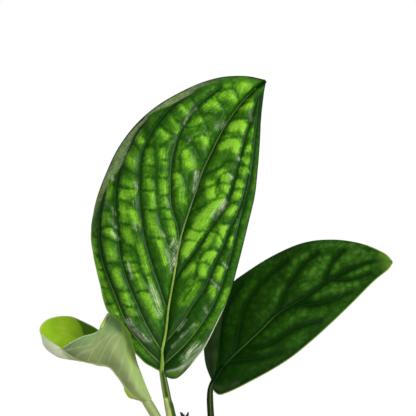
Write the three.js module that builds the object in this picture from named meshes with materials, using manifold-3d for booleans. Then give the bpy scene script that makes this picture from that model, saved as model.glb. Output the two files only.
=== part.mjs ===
// A young climbing aroid with three quilted leaves in a plain clay pot.
// Millimetres, z up. The pot stands on z = 0 with its axis on z, and the leaves face the viewer,
// who looks along +y. Each blade is drawn from the joint where it meets its stalk: in its outline
// and veins the first number goes to the right and the second one up, and a formula gives the depth.

import * as THREE from "three";
import Module from "manifold-3d";
import { mergeVertices } from "three/addons/utils/BufferGeometryUtils.js";

const wasm = await Module();
wasm.setup();

// Pot and soil
const POT_TOP_RADIUS = 60;
const POT_HEIGHT = 106;
const POT_BASE_RADIUS = 39;
const POT_WALL = 5.5;
const POT_FLOOR = 7;
const POT_SIDES = 48;
const COLLAR_HEIGHT = 26;
const COLLAR_STEP = 3;
const COLLAR_TAPER = 1.5;
const COLLAR_ROUNDING = 1;
const LIP_ROUNDING = 2;
const FOOT_ROUNDING = 1.5;
const DRAIN_RADIUS = 7;
const INNER_COVE = 4;

const CLEARANCE = 0.3;
const SOIL_LEVEL = 93;
const SOIL_MOUND = { height: 2.5, radius: 24 };
const SOIL_LUMP = 0.9;
const SOIL_SIDES = 36;
const SOIL_RINGS = 6;

// Stem, stalks and withered sheath, from the bottom up, as right, depth, up
const STEM_PATH = [[1, 1, 58], [0.6, 1, 84], [0, 1, 95], [-3.2, 0.8, 102.5], [-8, 0, 109.5]];
const STEM = { radius: 4.3, swelling: 0.9, swellingWidth: 0.035, nodes: [0.83, 0.985], rings: 22, sides: 20 };
const LARGE_STALK_PATH = [
  [-8.8, -0.1, 110.4], [-14.8, -0.2, 126], [-19.2, -1, 140], [-22.7, -1.8, 152], [-25, -2.8, 164],
  [-26.3, -3.2, 171], [-27, -3.4, 175.4],
];
const LARGE_STALK = {
  top: 1.75,
  flare: 1.9,
  groove: 0.55,
  sheath: 0.8,
  sheathEnd: 0.74,
  rings: 16,
  sides: 20,
  end: [[-28, 173.7], [-24.9, 171.2]],
};
const RIGHT_STALK_PATH = [
  [-2.2, 5.6, 101.5], [-1, 8, 108], [-1.4, 11, 128], [-2.6, 13.4, 150], [-3.1, 14, 160], [-2.8, 14.4, 165],
  [-2.4, 14.6, 169],
];
const RIGHT_STALK = {
  top: 1.65,
  flare: 0.9,
  neck: 0.55,
  groove: 0.3,
  rings: 16,
  sides: 16,
  end: [[-2.9, 169], [-1.6, 164]],
};
const YOUNG_STALK_PATH = [
  [-11.4, -4.4, 107.5], [-15.4, -5.6, 118], [-20.6, -6, 132], [-26.4, -4.4, 145], [-30, -2.4, 151.6],
  [-34, -0.1, 158.2],
];
const YOUNG_STALK = { foot: 2.2, flare: 0.3, footSwelling: 0.3, groove: 0.2, rings: 16, sides: 16 };
const SHEATH_PATH = [[-8.4, 4.8, 104], [-9.4, 5.8, 116], [-11.6, 6.2, 134], [-16.1, 6, 153.8]];
const SHEATH = {
  foot: 3.4,
  tip: 1.5,
  curl: 1.1,
  crumple: 0.4,
  notch: 0.05,
  thickness: 0.7,
  rows: 16,
  columns: 8,
};

// Blades
const LARGE_JOINT = [-27, -3, 174.5];
const RIGHT_JOINT = [-1.5, 14, 168];
const YOUNG_JOINT = [-34.7, 0, 159];
const BLADE_THICKNESS = 0.8;
const VEIN_PIECE = 3;
const COLUMN_SPREAD = 1.08;

const LARGE_GRID = { rows: 44, halfColumns: 17 };
const LARGE_RELIEF = { height: 2, reach: 2.4 };
const LARGE_RIB = { depth: 2.2, width: 1.6 };
const LARGE_FAN = 1.3;
const LARGE_MIDRIB = [
  [0, 0], [0, 9], [2, 20], [3.5, 33.5], [5.5, 44.5], [9, 65.5], [13, 78.5], [16.5, 89], [20, 99.5],
  [25, 110], [31, 122], [38, 132], [45, 140], [51.5, 145],
];
const LARGE_LEFT_MARGIN = [
  [-1, -0.2], [-5, 2], [-8.5, 4], [-11.5, 7], [-14, 10], [-17, 20], [-23, 27], [-28, 30.5], [-32, 44.5],
  [-35, 60.5], [-36, 70], [-34, 84.5], [-29, 99.5], [-23, 111.5], [-14, 123.5], [-3, 133], [12, 141.5],
  [23, 145.5], [32, 147.2], [44, 147.2], [51, 145.6],
];
const LARGE_RIGHT_MARGIN = [
  [1, -1.5], [2.5, -3], [7, -4], [12, 0.5], [17, 6.5], [21, 12], [27, 24], [33, 37.5], [37, 51.5],
  [40, 63.5], [43, 75.5], [46, 87.5], [47.5, 99.5], [48.5, 111.5], [49.3, 129.5], [50, 138],
  [51.6, 144.6],
];
const LARGE_LATERALS = [
  [
    [-1, 5], [-9.5, 13.5], [-16.5, 23], [-23, 38], [-29, 54], [-31, 64.5], [-31, 73], [-30.5, 81],
    [-28, 92],
  ],
  [
    [-0.5, 11.5], [-7, 22.5], [-12.5, 34.5], [-16.5, 44], [-20, 56], [-22, 71.5], [-23, 83], [-22, 95.5],
    [-19, 106.5], [-15, 115.5], [-8.5, 125],
  ],
  [
    [2, 33], [0, 39.5], [-5, 54.5], [-8, 65], [-10, 77.5], [-11, 93], [-10, 107.5], [-6, 117.5],
    [-1, 125], [5, 132], [14, 139],
  ],
  [
    [9, 66], [8, 72.5], [5, 82.5], [4.5, 90.5], [5, 103], [7, 113], [12, 124.5], [16, 130.5], [23, 137],
    [29, 141.5],
  ],
  [
    [1.5, 3.5], [12, 13.5], [21, 25], [28, 38], [32.5, 51], [36.5, 65.5], [40.5, 81.5], [44, 95.5],
    [46, 110.5], [49, 138],
  ],
  [
    [1.5, 13.5], [10, 24], [16, 33.5], [21.5, 41.5], [25.5, 51.5], [30.5, 62], [34, 71], [38, 79],
    [41, 88.5], [43, 98],
  ],
  [
    [6.5, 45.5], [11, 52.5], [17, 60.5], [25.5, 73], [32.5, 84.5], [35.5, 93.5], [39, 106.5],
    [42.5, 119], [48, 137],
  ],
];
const LARGE_MINOR_VEINS = [
  [[7, 53.5], [3, 63.5], [-1, 74.5], [-3, 87.5], [-3, 98], [-3, 108], [0, 113], [7, 117.5]],
  [[1, 19.5], [-2.5, 31.5], [-6, 41.5], [-11, 52], [-13, 60.5], [-20.5, 65]],
  [[23, 106.5], [19.5, 105], [16, 111.5], [12, 116], [9, 117]],
  [[25, 110.5], [23, 118], [20, 127], [14.5, 137]],
  [[33, 126], [30, 131.5], [26, 138]],
  [[39, 134], [37, 138], [35, 143.5]],
  [[11, 35.5], [16, 44], [18, 53], [21, 59.5], [26, 61], [29, 59.5]],
];
const LARGE_CROSS_VEINS = [
  [[-35, 69.5], [-31, 65.5]], [[-34, 59.5], [-30, 57]], [[-32, 51.5], [-28, 50]], [[-31, 43], [-26, 41.5]],
  [[-28, 34], [-22, 34]], [[-22, 28], [-18, 25.5]], [[-15, 17.5], [-11, 15.5]], [[-35, 78.5], [-31, 79]],
  [[-31, 80], [-26, 80], [-23, 78.5]], [[-31, 71], [-26, 72.5], [-22, 71.5]],
  [[-31, 68], [-26, 66], [-21, 63.5]], [[-28, 54], [-23, 54], [-19, 51.5]],
  [[-25, 41], [-20, 40.5], [-15, 40]], [[-22, 34], [-16, 32.5], [-12, 32.5]],
  [[-19, 27.5], [-14, 27], [-9, 26.5]], [[-11, 15.5], [-7, 17.5], [-5, 18.5]],
  [[-22, 86], [-17, 84.5], [-11, 79]], [[-21, 74], [-16, 73], [-9, 70]],
  [[-22, 92.5], [-17, 91.5], [-11, 90.5]], [[-20, 102], [-16, 99.5], [-11, 97.5]],
  [[-15, 114.5], [-12, 111.5], [-10, 109]], [[-9, 124], [-8, 120.5], [-6, 117.5]],
  [[-19, 54.5], [-15, 54.5], [-11, 54.5]], [[-17, 49], [-13, 49.5], [-9, 49]],
  [[-14, 39], [-10, 40.5], [-6, 40.5]], [[-9, 47.5], [-6, 48.5], [-3, 49.5]],
  [[-11, 96.5], [-7, 97], [-3, 96.5]], [[-10, 102.5], [-7, 102.5], [-3, 102]],
  [[-8, 112.5], [-5, 113], [-2, 109]], [[-11, 90.5], [-7, 90], [-3, 90.5]],
  [[-10, 81], [-6, 80.5], [-2, 80.5]], [[-8, 67], [-4, 66.5], [2, 66.5]],
  [[-3, 105], [1, 105.5], [5, 105]], [[-3, 96.5], [0, 96.5], [4, 96.5]], [[-3, 88.5], [1, 87.5], [4, 87.5]],
  [[-2, 81], [1, 81.5], [5, 81.5]], [[-1, 76], [3, 76], [7, 76.5]], [[2, 66.5], [5, 67.5], [9, 66.5]],
  [[-2, 124.5], [2, 120], [9, 117]], [[4, 131], [7, 125], [11, 122]], [[9, 135], [12, 131.5], [15, 129]],
  [[6, 99.5], [9, 99.5], [12, 90.5], [14, 81.5]], [[9, 99.5], [9, 109.5], [13, 112.5], [14, 114]],
  [[5, 82], [9, 79.5], [11, 73.5]], [[12, 90.5], [14, 99.5], [18, 100.5]],
  [[11, 122], [16, 122], [21, 123.5]], [[16, 117], [19, 118.5], [23, 117]],
  [[20, 127], [22, 129], [27, 127.5], [30, 130.5]], [[27, 136], [30, 140.5], [36, 141.5]],
  [[14, 79], [18, 81], [23, 83.5], [28, 86], [33, 86.5]], [[28, 86], [27, 90.5], [28, 93.5]],
  [[19, 96], [24, 99], [29, 101], [32, 104.5], [38, 104.5]], [[28, 93.5], [29, 97], [34, 99.5], [37, 98.5]],
  [[17, 89], [21, 90.5], [28, 93.5], [35, 93.5]], [[26, 112.5], [30, 115], [36, 116.5], [42, 116.5]],
  [[34, 125], [38, 126], [44, 126]], [[39, 132.5], [41, 133.5], [47, 135]], [[12, 72.5], [17, 70], [23, 70]],
  [[10, 64], [14, 65.5], [19, 64]], [[42, 124.5], [45, 123.5], [48, 123.5]],
  [[39, 108.5], [43, 109], [46, 109]], [[38, 102.5], [41, 103], [45, 101.5]],
  [[36, 96], [40, 96.5], [44, 95.5]], [[34, 90.5], [38, 91], [41, 90.5]], [[32, 84], [36, 84], [39, 82.5]],
  [[27, 74.5], [32, 73.5], [36, 74]], [[23, 70], [27, 69.5], [31, 64.5]], [[18, 54], [22, 54.5], [25, 51.5]],
  [[14, 42], [17, 45], [23, 45.5]], [[33, 69], [38, 68]], [[30, 61], [35, 60.5]],
  [[26, 53.5], [30, 53.5], [33, 51]], [[23, 46], [26, 43.5], [29, 40.5]], [[20, 37], [23, 34], [25, 32.5]],
  [[15, 30.5], [18, 26.5], [20, 24.5]], [[9, 22.5], [12, 18.5], [14, 15.5]],
];

const RIGHT_GRID = { rows: 26, halfColumns: 11 };
const RIGHT_RELIEF = { height: 0.8, reach: 3 };
const RIGHT_RIB = { depth: 1.6, width: 1.6 };
const RIGHT_FAN = 1.2;
const RIGHT_MIDRIB = [
  [0, 0], [4.5, 7.5], [11.5, 14.5], [18.5, 21], [25.5, 27.5], [32.5, 34.5], [41, 39.5], [50, 45.5],
  [57, 50.5], [64, 54.5], [71, 58], [78, 60.5], [83.5, 61.5], [89.4, 61],
];
const RIGHT_UPPER_MARGIN = [
  [-0.8, 1], [-3.5, 7.5], [-4.5, 13], [-4.7, 19], [-3.5, 27.5], [-0.5, 36], [4, 43.5], [9.5, 50],
  [17, 56], [29, 64], [41.5, 69.5], [50, 71.5], [59, 72], [67.5, 71.5], [76.5, 69], [83, 66],
  [87, 63.8], [89.6, 61.4],
];
const RIGHT_LOWER_MARGIN = [
  [-0.6, -1], [0.5, -3.5], [3, -5], [6.5, -4], [11.5, -1.5], [18.5, 2], [29, 7.5], [39.5, 14.5],
  [50, 23], [60.5, 32], [71, 42.5], [81.5, 53.5], [88.5, 58.5], [89.6, 60.6],
];
const RIGHT_LATERALS = [
  [[2.5, 5.5], [3, 12], [3.5, 22.5], [5, 31.5], [9, 42.5], [14.5, 50.5]],
  [[11, 14.5], [12, 20], [14.5, 33], [18, 41.5], [22.5, 47.5], [28.5, 54], [37, 61]],
  [[33, 35.5], [35, 42], [37, 47], [41.5, 54], [45, 59], [53, 65.5]],
  [[56.5, 51], [58, 56], [60.5, 61], [66, 66.5]],
  [[8, 10.5], [16, 11.5], [24, 12.5], [34, 15]],
  [[16.5, 18.5], [22.5, 17.5], [29, 19.5], [36, 24], [43, 28], [54, 31]],
  [[43, 39.5], [48.5, 39], [54.5, 40], [61.5, 42], [70, 46]],
  [[59, 52], [65, 51.5], [72, 52.5], [79, 55]],
];

// The young blade is still rolled: eleven lines across it from base to tip, each with the near
// margin, two points on the near half, the midrib, two points on the far half and the far margin,
// as right, depth, up.
const YOUNG_GRID = { rows: 30, columns: 22 };
const YOUNG_RIB = { height: 0.35, count: 9, slant: 0.5 };
const YOUNG_TIP_THINNING = 0.2;
const YOUNG_LINES = [
  [
    [1.6, 5.4, 1.6], [1.6, 0.6, 1.2], [0.6, -1.6, 0.6], [-1.5, 0.2, 0], [-1.6, 2.2, 0.8],
    [-0.8, 3.2, 1.2], [-0.2, 2.4, 1.3],
  ],
  [
    [-3, 7.8, 9], [-1.2, 1.2, 8], [-4.5, -2.6, 5.8], [-8, 0.8, 4.6], [-8, 4.4, 6],
    [-6, 5.2, 7.6], [-4.2, 3.4, 8],
  ],
  [
    [-7.6, 9, 22.5], [-5, 0.8, 19.6], [-9.6, -4, 15.6], [-14.2, 1, 13], [-14, 6.4, 15.8],
    [-10.6, 8.4, 19.2], [-7.4, 5.8, 21],
  ],
  [
    [-8, 10.5, 40], [-9, 0.6, 32], [-14.6, -4, 23.4], [-18.6, 1.4, 17.8], [-19, 7.6, 20.6],
    [-15.5, 11.4, 27.6], [-10, 9.5, 35],
  ],
  [
    [-13.2, 5.6, 49.4], [-15.4, -0.3, 40.2], [-19.6, -4.2, 28], [-23.4, 1.4, 18.8], [-23.8, 8.6, 22],
    [-21.4, 15, 32.4], [-16, 14.5, 44],
  ],
  [
    [-19.8, 1, 45], [-22, -2.5, 35.6], [-24.8, -4.2, 26.4], [-27.4, 1.4, 19.8], [-28.8, 9, 22.8],
    [-28, 17.5, 32.5], [-21.6, 19, 45],
  ],
  [
    [-25.2, -2.6, 36.4], [-27.8, -3.8, 29.8], [-29.6, -3.6, 25], [-31, 1, 20.6], [-33.8, 8, 22.8],
    [-35, 17, 31], [-28.6, 20.5, 39.4],
  ],
  [
    [-31.8, -3, 33], [-33, -3.2, 28], [-33.8, -2.6, 24.4], [-34.4, 0.8, 21.6], [-39.4, 6, 22.4],
    [-43, 15, 29.4], [-39.4, 19, 43.2],
  ],
  [
    [-36.4, -2.8, 30.8], [-36.8, -2.4, 27.8], [-37, -1.8, 25], [-37.2, 0.4, 23], [-44, 4, 22.8],
    [-50.6, 10.8, 28.6], [-50, 15.5, 41.4],
  ],
  [
    [-39.6, -2, 28.8], [-39.8, -1.6, 27.2], [-39.8, -1.2, 25.8], [-39.8, 0, 24.6], [-45, 1.8, 24.6],
    [-50, 5, 28.4], [-52.5, 7.2, 34.6],
  ],
  [
    [-42.2, -1, 27.1], [-42.25, -1, 26.9], [-42.3, -0.9, 26.7], [-42.35, -0.7, 26.5], [-42.6, -0.4, 26.5],
    [-42.7, -0.2, 26.7], [-42.7, 0, 27],
  ],
];

const FINISHES = {
  clay: { color: 0xb9683f, roughness: 0.9 },
  compost: { color: 0x3a2a1e, roughness: 1 },
  woodyStem: { color: 0x56702f, roughness: 0.6 },
  greenStalk: { color: 0x5f8a32, roughness: 0.45 },
  darkStalk: { color: 0x3c5420, roughness: 0.45 },
  paleStalk: { color: 0x9db36a, roughness: 0.5 },
  drySheath: { color: 0x3a2014, roughness: 0.8 },
  glossyLeaf: { color: 0x3f8a1e, roughness: 0.3 },
  darkLeaf: { color: 0x24551a, roughness: 0.35 },
  paleLeaf: { color: 0x9fb277, roughness: 0.5 },
};

const toViewer = new THREE.Vector3(0, -1, 0);

function clamp01(x) {
  return Math.min(1, Math.max(0, x));
}

function smoothstep(a, b, x) {
  const t = clamp01((x - a) / (b - a));
  return t * t * (3 - 2 * t);
}

function bump(x, width) {
  return Math.exp(-((x / width) ** 2));
}

function spaceCurve(points) {
  return new THREE.CatmullRomCurve3(points.map((p) => new THREE.Vector3(...p)), false, "centripetal");
}

// Smooth curve through points given as right and up, in the plane of the drawing.
function drawnCurve(points) {
  const curve = spaceCurve(points.map(([right, up]) => [right, 0, up]));
  curve.arcLengthDivisions = 300;
  return curve;
}

// Short straight pieces of the given curves, for measuring how far a point is from the nearest one.
function piecesOf(curves) {
  const pieces = [];
  for (const curve of curves) {
    const steps = Math.max(2, Math.round(curve.getLength() / VEIN_PIECE));
    const points = curve.getSpacedPoints(steps);
    for (let i = 0; i < steps; i++) pieces.push([points[i], points[i + 1]]);
  }
  return pieces;
}

function distanceTo(pieces, right, up) {
  let nearest = Infinity;
  for (const [p, q] of pieces) {
    const dx = q.x - p.x;
    const dz = q.z - p.z;
    const t = clamp01(((right - p.x) * dx + (up - p.z) * dz) / (dx * dx + dz * dz));
    nearest = Math.min(nearest, Math.hypot(right - p.x - t * dx, up - p.z - t * dz));
  }
  return nearest;
}

function geometryOf(points, triangles) {
  const geometry = new THREE.BufferGeometry();
  const numbers = points.flatMap((p) => [p.x, p.y, p.z]);
  geometry.setAttribute("position", new THREE.Float32BufferAttribute(numbers, 3));
  geometry.setIndex(triangles);
  return geometry;
}

function toSolid(geometry) {
  const bare = geometry.clone();
  bare.deleteAttribute("normal");
  bare.deleteAttribute("uv");
  const merged = mergeVertices(bare, 1e-3);
  return new wasm.Manifold(
    new wasm.Mesh({
      numProp: 3,
      vertProperties: merged.attributes.position.array,
      triVerts: new Uint32Array(merged.index.array),
    }),
  );
}

function toGeometry(solid) {
  const mesh = solid.getMesh();
  const geometry = new THREE.BufferGeometry();
  const positions = new Float32Array(mesh.vertProperties);
  geometry.setAttribute("position", new THREE.BufferAttribute(positions, 3));
  geometry.setIndex(Array.from(mesh.triVerts));
  return geometry;
}

// A thin blade. pointAt(i, j) gives a point and its outward direction on the viewer's face, and
// thicknessAt(i, j) how far behind it the other face lies. Both faces have the same triangles.
function bladeGeometry(rows, columns, pointAt, thicknessAt) {
  const front = [];
  const back = [];
  for (let i = 0; i <= rows; i++) {
    for (let j = 0; j <= columns; j++) {
      const { point, outward } = pointAt(i, j);
      front.push(point);
      back.push(point.clone().addScaledVector(outward, -thicknessAt(i, j)));
    }
  }
  const at = (i, j) => i * (columns + 1) + j;
  const behind = front.length;
  const triangles = [];
  for (let i = 0; i < rows; i++) {
    for (let j = 0; j < columns; j++) {
      const [p, q, r, s] = [at(i, j), at(i, j + 1), at(i + 1, j + 1), at(i + 1, j)];
      triangles.push(p, q, r, p, r, s);
      triangles.push(behind + p, behind + r, behind + q, behind + p, behind + s, behind + r);
    }
  }
  const edge = [];
  for (let j = 0; j < columns; j++) edge.push(at(0, j));
  for (let i = 0; i < rows; i++) edge.push(at(i, columns));
  for (let j = columns; j > 0; j--) edge.push(at(rows, j));
  for (let i = rows; i > 0; i--) edge.push(at(i, 0));
  edge.forEach((p, k) => {
    const q = edge[(k + 1) % edge.length];
    triangles.push(p, behind + p, q, q, behind + p, behind + q);
  });
  return geometryOf([...front, ...back], triangles);
}

// What a flat-drawn blade needs: its curves, the veins cut short for measuring, and its depth.
function bladeDrawing(sizes, depth) {
  const { joint, midrib, left, right, veins, relief, rib, fan } = sizes;
  const spine = drawnCurve(midrib);
  const margins = [drawnCurve(left), drawnCurve(right)];
  return {
    joint: new THREE.Vector3(...joint),
    spine,
    margins,
    depth,
    relief,
    rib,
    fan,
    spinePieces: piecesOf([spine]),
    veinPieces: piecesOf([spine, ...veins.map(drawnCurve), ...margins]),
  };
}

// Point on a flat-drawn blade: s goes from -1 at the left margin over 0 at the midrib to 1 at the
// right margin, and f from 0 at the stalk to 1 at the tip.
function bladePoint(blade, s, f) {
  const margin = blade.margins[s < 0 ? 0 : 1].getPointAt(clamp01(f));
  const point = blade.spine.getPointAt(clamp01(f) ** blade.fan).lerp(margin, Math.abs(s));
  point.y = blade.depth(s, f);
  return point;
}

// How far a place is from both ends of the blade, where the rows are too short to have a slope.
function inner(f) {
  return smoothstep(0.04, 0.2, f) * (1 - smoothstep(0.93, 0.99, f));
}

// The viewer's side of the blade at (s, f), with the cells raised between its veins.
function raisedPoint(blade, s, f) {
  const step = 0.01;
  const side = s > 1 - step ? -step : step;
  const lift = f > 1 - step ? -step : step;
  const point = bladePoint(blade, s, f);
  const across = bladePoint(blade, s + side, f).sub(point).multiplyScalar(Math.sign(side));
  const along = bladePoint(blade, s, f + lift).sub(point).multiplyScalar(Math.sign(lift));
  const outward = toViewer.clone().lerp(across.cross(along).normalize(), inner(f)).normalize();
  const vein = distanceTo(blade.veinPieces, point.x, point.z);
  const height = blade.relief.height * (1 - bump(vein, blade.relief.reach));
  point.addScaledVector(outward, height).add(blade.joint);
  return { point, outward };
}

// The midrib is thicker than the blade, and thins out towards the tip.
function ribThickness(blade, s, f) {
  const { x, z } = bladePoint(blade, s, f);
  const taper = 1 - 0.75 * f;
  return blade.rib.depth * taper * bump(distanceTo(blade.spinePieces, x, z), blade.rib.width);
}

function flatBladeGeometry(blade, { rows, halfColumns }) {
  const sAt = (j) => Math.sign(j - halfColumns) * (Math.abs(j - halfColumns) / halfColumns) ** COLUMN_SPREAD;
  const fAt = (i) => i / rows;
  return bladeGeometry(
    rows,
    2 * halfColumns,
    (i, j) => raisedPoint(blade, sAt(j), fAt(i)),
    (i, j) => BLADE_THICKNESS + ribThickness(blade, sAt(j), fAt(i)),
  );
}

// Fullness of a blade along its length: nothing at both ends.
function fullness(f) {
  return Math.sin(Math.PI * clamp01(f * 0.96 + 0.02)) ** 0.6;
}

// The large blade leans back towards its tip, each half is arched towards the viewer, the left
// margin is rolled back high up and the right one round the basal lobe.
function largeDepth(s, f) {
  const lean = 34 * f * f - 22 * f;
  const arch = -4 * Math.sin(Math.PI * 0.85 * Math.abs(s)) * fullness(f);
  const leftRoll = 2 + 7 * smoothstep(0.25, 0.5, f) * (1 - smoothstep(0.85, 1, f));
  const rightRoll = 1.5 + 6 * (1 - smoothstep(0.15, 0.4, f));
  const crease = s < 0 ? 0.8 : 0.76 + 0.16 * smoothstep(0.05, 0.35, f);
  const roll = (s < 0 ? leftRoll : rightRoll) * clamp01((Math.abs(s) - crease) / (1 - crease)) ** 1.6;
  return lean + arch + roll * smoothstep(0, 0.06, f) * (1 - smoothstep(0.95, 1, f));
}

// The right-hand blade is folded a little along its midrib, with its upper half, left of the
// midrib, tilted back and its upper basal lobe turned back most.
function rightDepth(s, f) {
  const lean = 24 * f - 20 * f * f;
  const upper = (-9 * s + 4 * Math.sin(Math.PI * s)) * fullness(f);
  const lobe = 7 * s * s * (1 - smoothstep(0.1, 0.35, f)) * smoothstep(0, 0.05, f);
  const lower = (3 * s * s - 3.5 * Math.sin(Math.PI * 0.9 * s)) * fullness(f);
  return lean + (s < 0 ? upper + lobe : lower);
}

function largeBladeGeometry() {
  const sizes = {
    joint: LARGE_JOINT,
    midrib: LARGE_MIDRIB,
    left: LARGE_LEFT_MARGIN,
    right: LARGE_RIGHT_MARGIN,
    veins: [...LARGE_LATERALS, ...LARGE_MINOR_VEINS, ...LARGE_CROSS_VEINS],
    relief: LARGE_RELIEF,
    rib: LARGE_RIB,
    fan: LARGE_FAN,
  };
  return flatBladeGeometry(bladeDrawing(sizes, largeDepth), LARGE_GRID);
}

function rightBladeGeometry() {
  const sizes = {
    joint: RIGHT_JOINT,
    midrib: RIGHT_MIDRIB,
    left: RIGHT_UPPER_MARGIN,
    right: RIGHT_LOWER_MARGIN,
    veins: RIGHT_LATERALS,
    relief: RIGHT_RELIEF,
    rib: RIGHT_RIB,
    fan: RIGHT_FAN,
  };
  return flatBladeGeometry(bladeDrawing(sizes, rightDepth), RIGHT_GRID);
}

// Smooth value between equally spaced control values, as a uniform Catmull-Rom curve.
function through(values, t) {
  const last = values.length - 1;
  const k = Math.min(last - 1, Math.floor(t * last));
  const w = t * last - k;
  const curve = values[Math.max(0, k - 1)].clone().multiplyScalar(-0.5 * w + w * w - 0.5 * w ** 3);
  curve.addScaledVector(values[k], 1 - 2.5 * w * w + 1.5 * w ** 3);
  curve.addScaledVector(values[k + 1], 0.5 * w + 2 * w * w - 1.5 * w ** 3);
  return curve.addScaledVector(values[Math.min(last, k + 2)], -0.5 * w * w + 0.5 * w ** 3);
}

// Point on the rolled young blade: u from the stalk to the tip, and v from 0 at the near margin
// over 0.5 at the midrib to 1 at the far margin.
function youngPoint(u, v) {
  const lines = YOUNG_LINES.map((line) => through(line.map((p) => new THREE.Vector3(...p)), v));
  return through(lines, u);
}

// Its upper face, which is the inside of the roll.
function youngInside(u, v) {
  const step = 0.004;
  const point = youngPoint(u, v);
  const across = youngPoint(u, Math.min(1, v + step)).sub(youngPoint(u, Math.max(0, v - step)));
  const along = youngPoint(Math.min(1, u + step), v).sub(youngPoint(Math.max(0, u - step), v));
  const outward = across.cross(along).normalize();
  return { point: point.add(new THREE.Vector3(...YOUNG_JOINT)), outward };
}

// Faint ribs that stand out from its underside and run from the midrib to both margins.
function youngRib(u, v) {
  const turns = YOUNG_RIB.count * (u + YOUNG_RIB.slant * Math.abs(v - 0.5));
  const wave = 0.5 + 0.5 * Math.cos(2 * Math.PI * turns);
  const fade = smoothstep(0, 0.08, u) * (1 - smoothstep(0.85, 0.95, u));
  return YOUNG_RIB.height * wave ** 3 * fade;
}

function youngBladeGeometry() {
  const { rows, columns } = YOUNG_GRID;
  const thicknessAt = (u, v) => BLADE_THICKNESS - YOUNG_TIP_THINNING * smoothstep(0.8, 1, u) + youngRib(u, v);
  return bladeGeometry(
    rows,
    columns,
    (i, j) => youngInside(i / rows, j / columns),
    (i, j) => thicknessAt(i / rows, j / columns),
  );
}

// A round stalk along a path, lengthened by extra at both ends. radiusAt(turn, t) is measured from
// the side that faces the viewer.
function stalkGeometry(points, rings, sides, extra, radiusAt) {
  const path = spaceCurve(points);
  const vertices = [];
  const ends = [];
  for (let i = 0; i <= rings; i++) {
    const t = i / rings;
    const centre = path.getPointAt(t);
    const tangent = path.getTangentAt(t);
    if (i === 0) centre.addScaledVector(tangent, -extra);
    if (i === rings) centre.addScaledVector(tangent, extra);
    if (i === 0 || i === rings) ends.push(centre.clone());
    const forward = toViewer.clone().addScaledVector(tangent, -toViewer.dot(tangent)).normalize();
    const sideways = new THREE.Vector3().crossVectors(forward, tangent);
    for (let k = 0; k < sides; k++) {
      const turn = (2 * Math.PI * k) / sides;
      const wrapped = turn > Math.PI ? turn - 2 * Math.PI : turn;
      const radius = radiusAt(wrapped, t);
      const vertex = centre.clone().addScaledVector(forward, radius * Math.cos(turn));
      vertices.push(vertex.addScaledVector(sideways, radius * Math.sin(turn)));
    }
  }
  const triangles = [];
  for (let i = 0; i < rings; i++) {
    for (let k = 0; k < sides; k++) {
      const [p, q] = [i * sides + k, i * sides + ((k + 1) % sides)];
      triangles.push(p, p + sides, q, q, p + sides, q + sides);
    }
  }
  const bottom = vertices.length;
  vertices.push(...ends);
  for (let k = 0; k < sides; k++) {
    const next = (k + 1) % sides;
    triangles.push(bottom, k, next);
    triangles.push(bottom + 1, rings * sides + next, rings * sides + k);
  }
  return geometryOf(vertices, triangles);
}

// The stem swells a little at its two nodes.
function stemGeometry(extra) {
  const { radius, swelling, swellingWidth, nodes, rings, sides } = STEM;
  return stalkGeometry(STEM_PATH, rings, sides, extra, (turn, t) => {
    const swellings = nodes.map((place) => swelling * bump(t - place, swellingWidth));
    return radius + extra + swellings.reduce((sum, value) => sum + value, 0);
  });
}

// The sheath wraps the lower part of the stalk from one side, and above its end the stalk has a
// groove towards the viewer and a slight joint under the blade.
function largeStalkGeometry(extra) {
  const { top, flare, groove, sheath, sheathEnd, rings, sides } = LARGE_STALK;
  return stalkGeometry(LARGE_STALK_PATH, rings, sides, extra, (turn, t) => {
    const body = top + flare * (1 - t) ** 1.4;
    const wrap = sheath * bump(turn + 0.9, 0.7) * (1 - smoothstep(sheathEnd - 0.02, sheathEnd + 0.04, t));
    const channel = groove * bump(turn, 0.42) * smoothstep(sheathEnd - 0.06, sheathEnd + 0.04, t);
    const joint = 0.25 * bump(t - 0.97, 0.05);
    return body + wrap + joint - channel + extra;
  });
}

function rightStalkGeometry() {
  const { top, flare, neck, groove, rings, sides } = RIGHT_STALK;
  return stalkGeometry(RIGHT_STALK_PATH, rings, sides, 0, (turn, t) => {
    const channel = groove * bump(turn + 0.4, 0.4);
    return top + flare * (1 - t) ** 2 - neck * smoothstep(0.8, 1, t) - channel;
  });
}

function youngStalkGeometry() {
  const { foot, flare, footSwelling, groove, rings, sides } = YOUNG_STALK;
  return stalkGeometry(YOUNG_STALK_PATH, rings, sides, 0, (turn, t) => {
    const channel = groove * bump(turn - 0.6, 0.5);
    return foot + flare * t + footSwelling * bump(t, 0.2) - channel;
  });
}

// The withered sheath: a thin curled strip with a forked end.
function drySheathGeometry() {
  const { foot, tip, curl, crumple, notch, thickness, rows, columns } = SHEATH;
  const path = spaceCurve(SHEATH_PATH);
  const pointAt = (i, j) => {
    const s = (2 * j) / columns - 1;
    const along = i / rows;
    const t = along * (1 - notch * (1 - Math.abs(s)) * smoothstep(0.8, 1, along));
    const width = foot - (foot - tip) * smoothstep(0, 0.85, t);
    const hollow = curl * (1 - s * s) * (1 - 0.5 * t);
    const offset = new THREE.Vector3(s * width, hollow, crumple * Math.sin(3 * s + 9 * t));
    return { point: path.getPointAt(t).add(offset), outward: toViewer };
  };
  return bladeGeometry(rows, columns, pointAt, () => thickness);
}

function revolved(profile, sides) {
  const geometry = new THREE.LatheGeometry(profile.map(([r, z]) => new THREE.Vector2(r, z)), sides);
  geometry.rotateX(Math.PI / 2);
  return toSolid(geometry);
}

// Radius of the pot's inside at a height.
function innerRadius(z) {
  const top = POT_TOP_RADIUS - POT_WALL;
  const bottom = POT_BASE_RADIUS - POT_WALL + 1;
  return bottom + ((top - bottom) * (z - POT_FLOOR)) / (POT_HEIGHT - POT_FLOOR);
}

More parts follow.
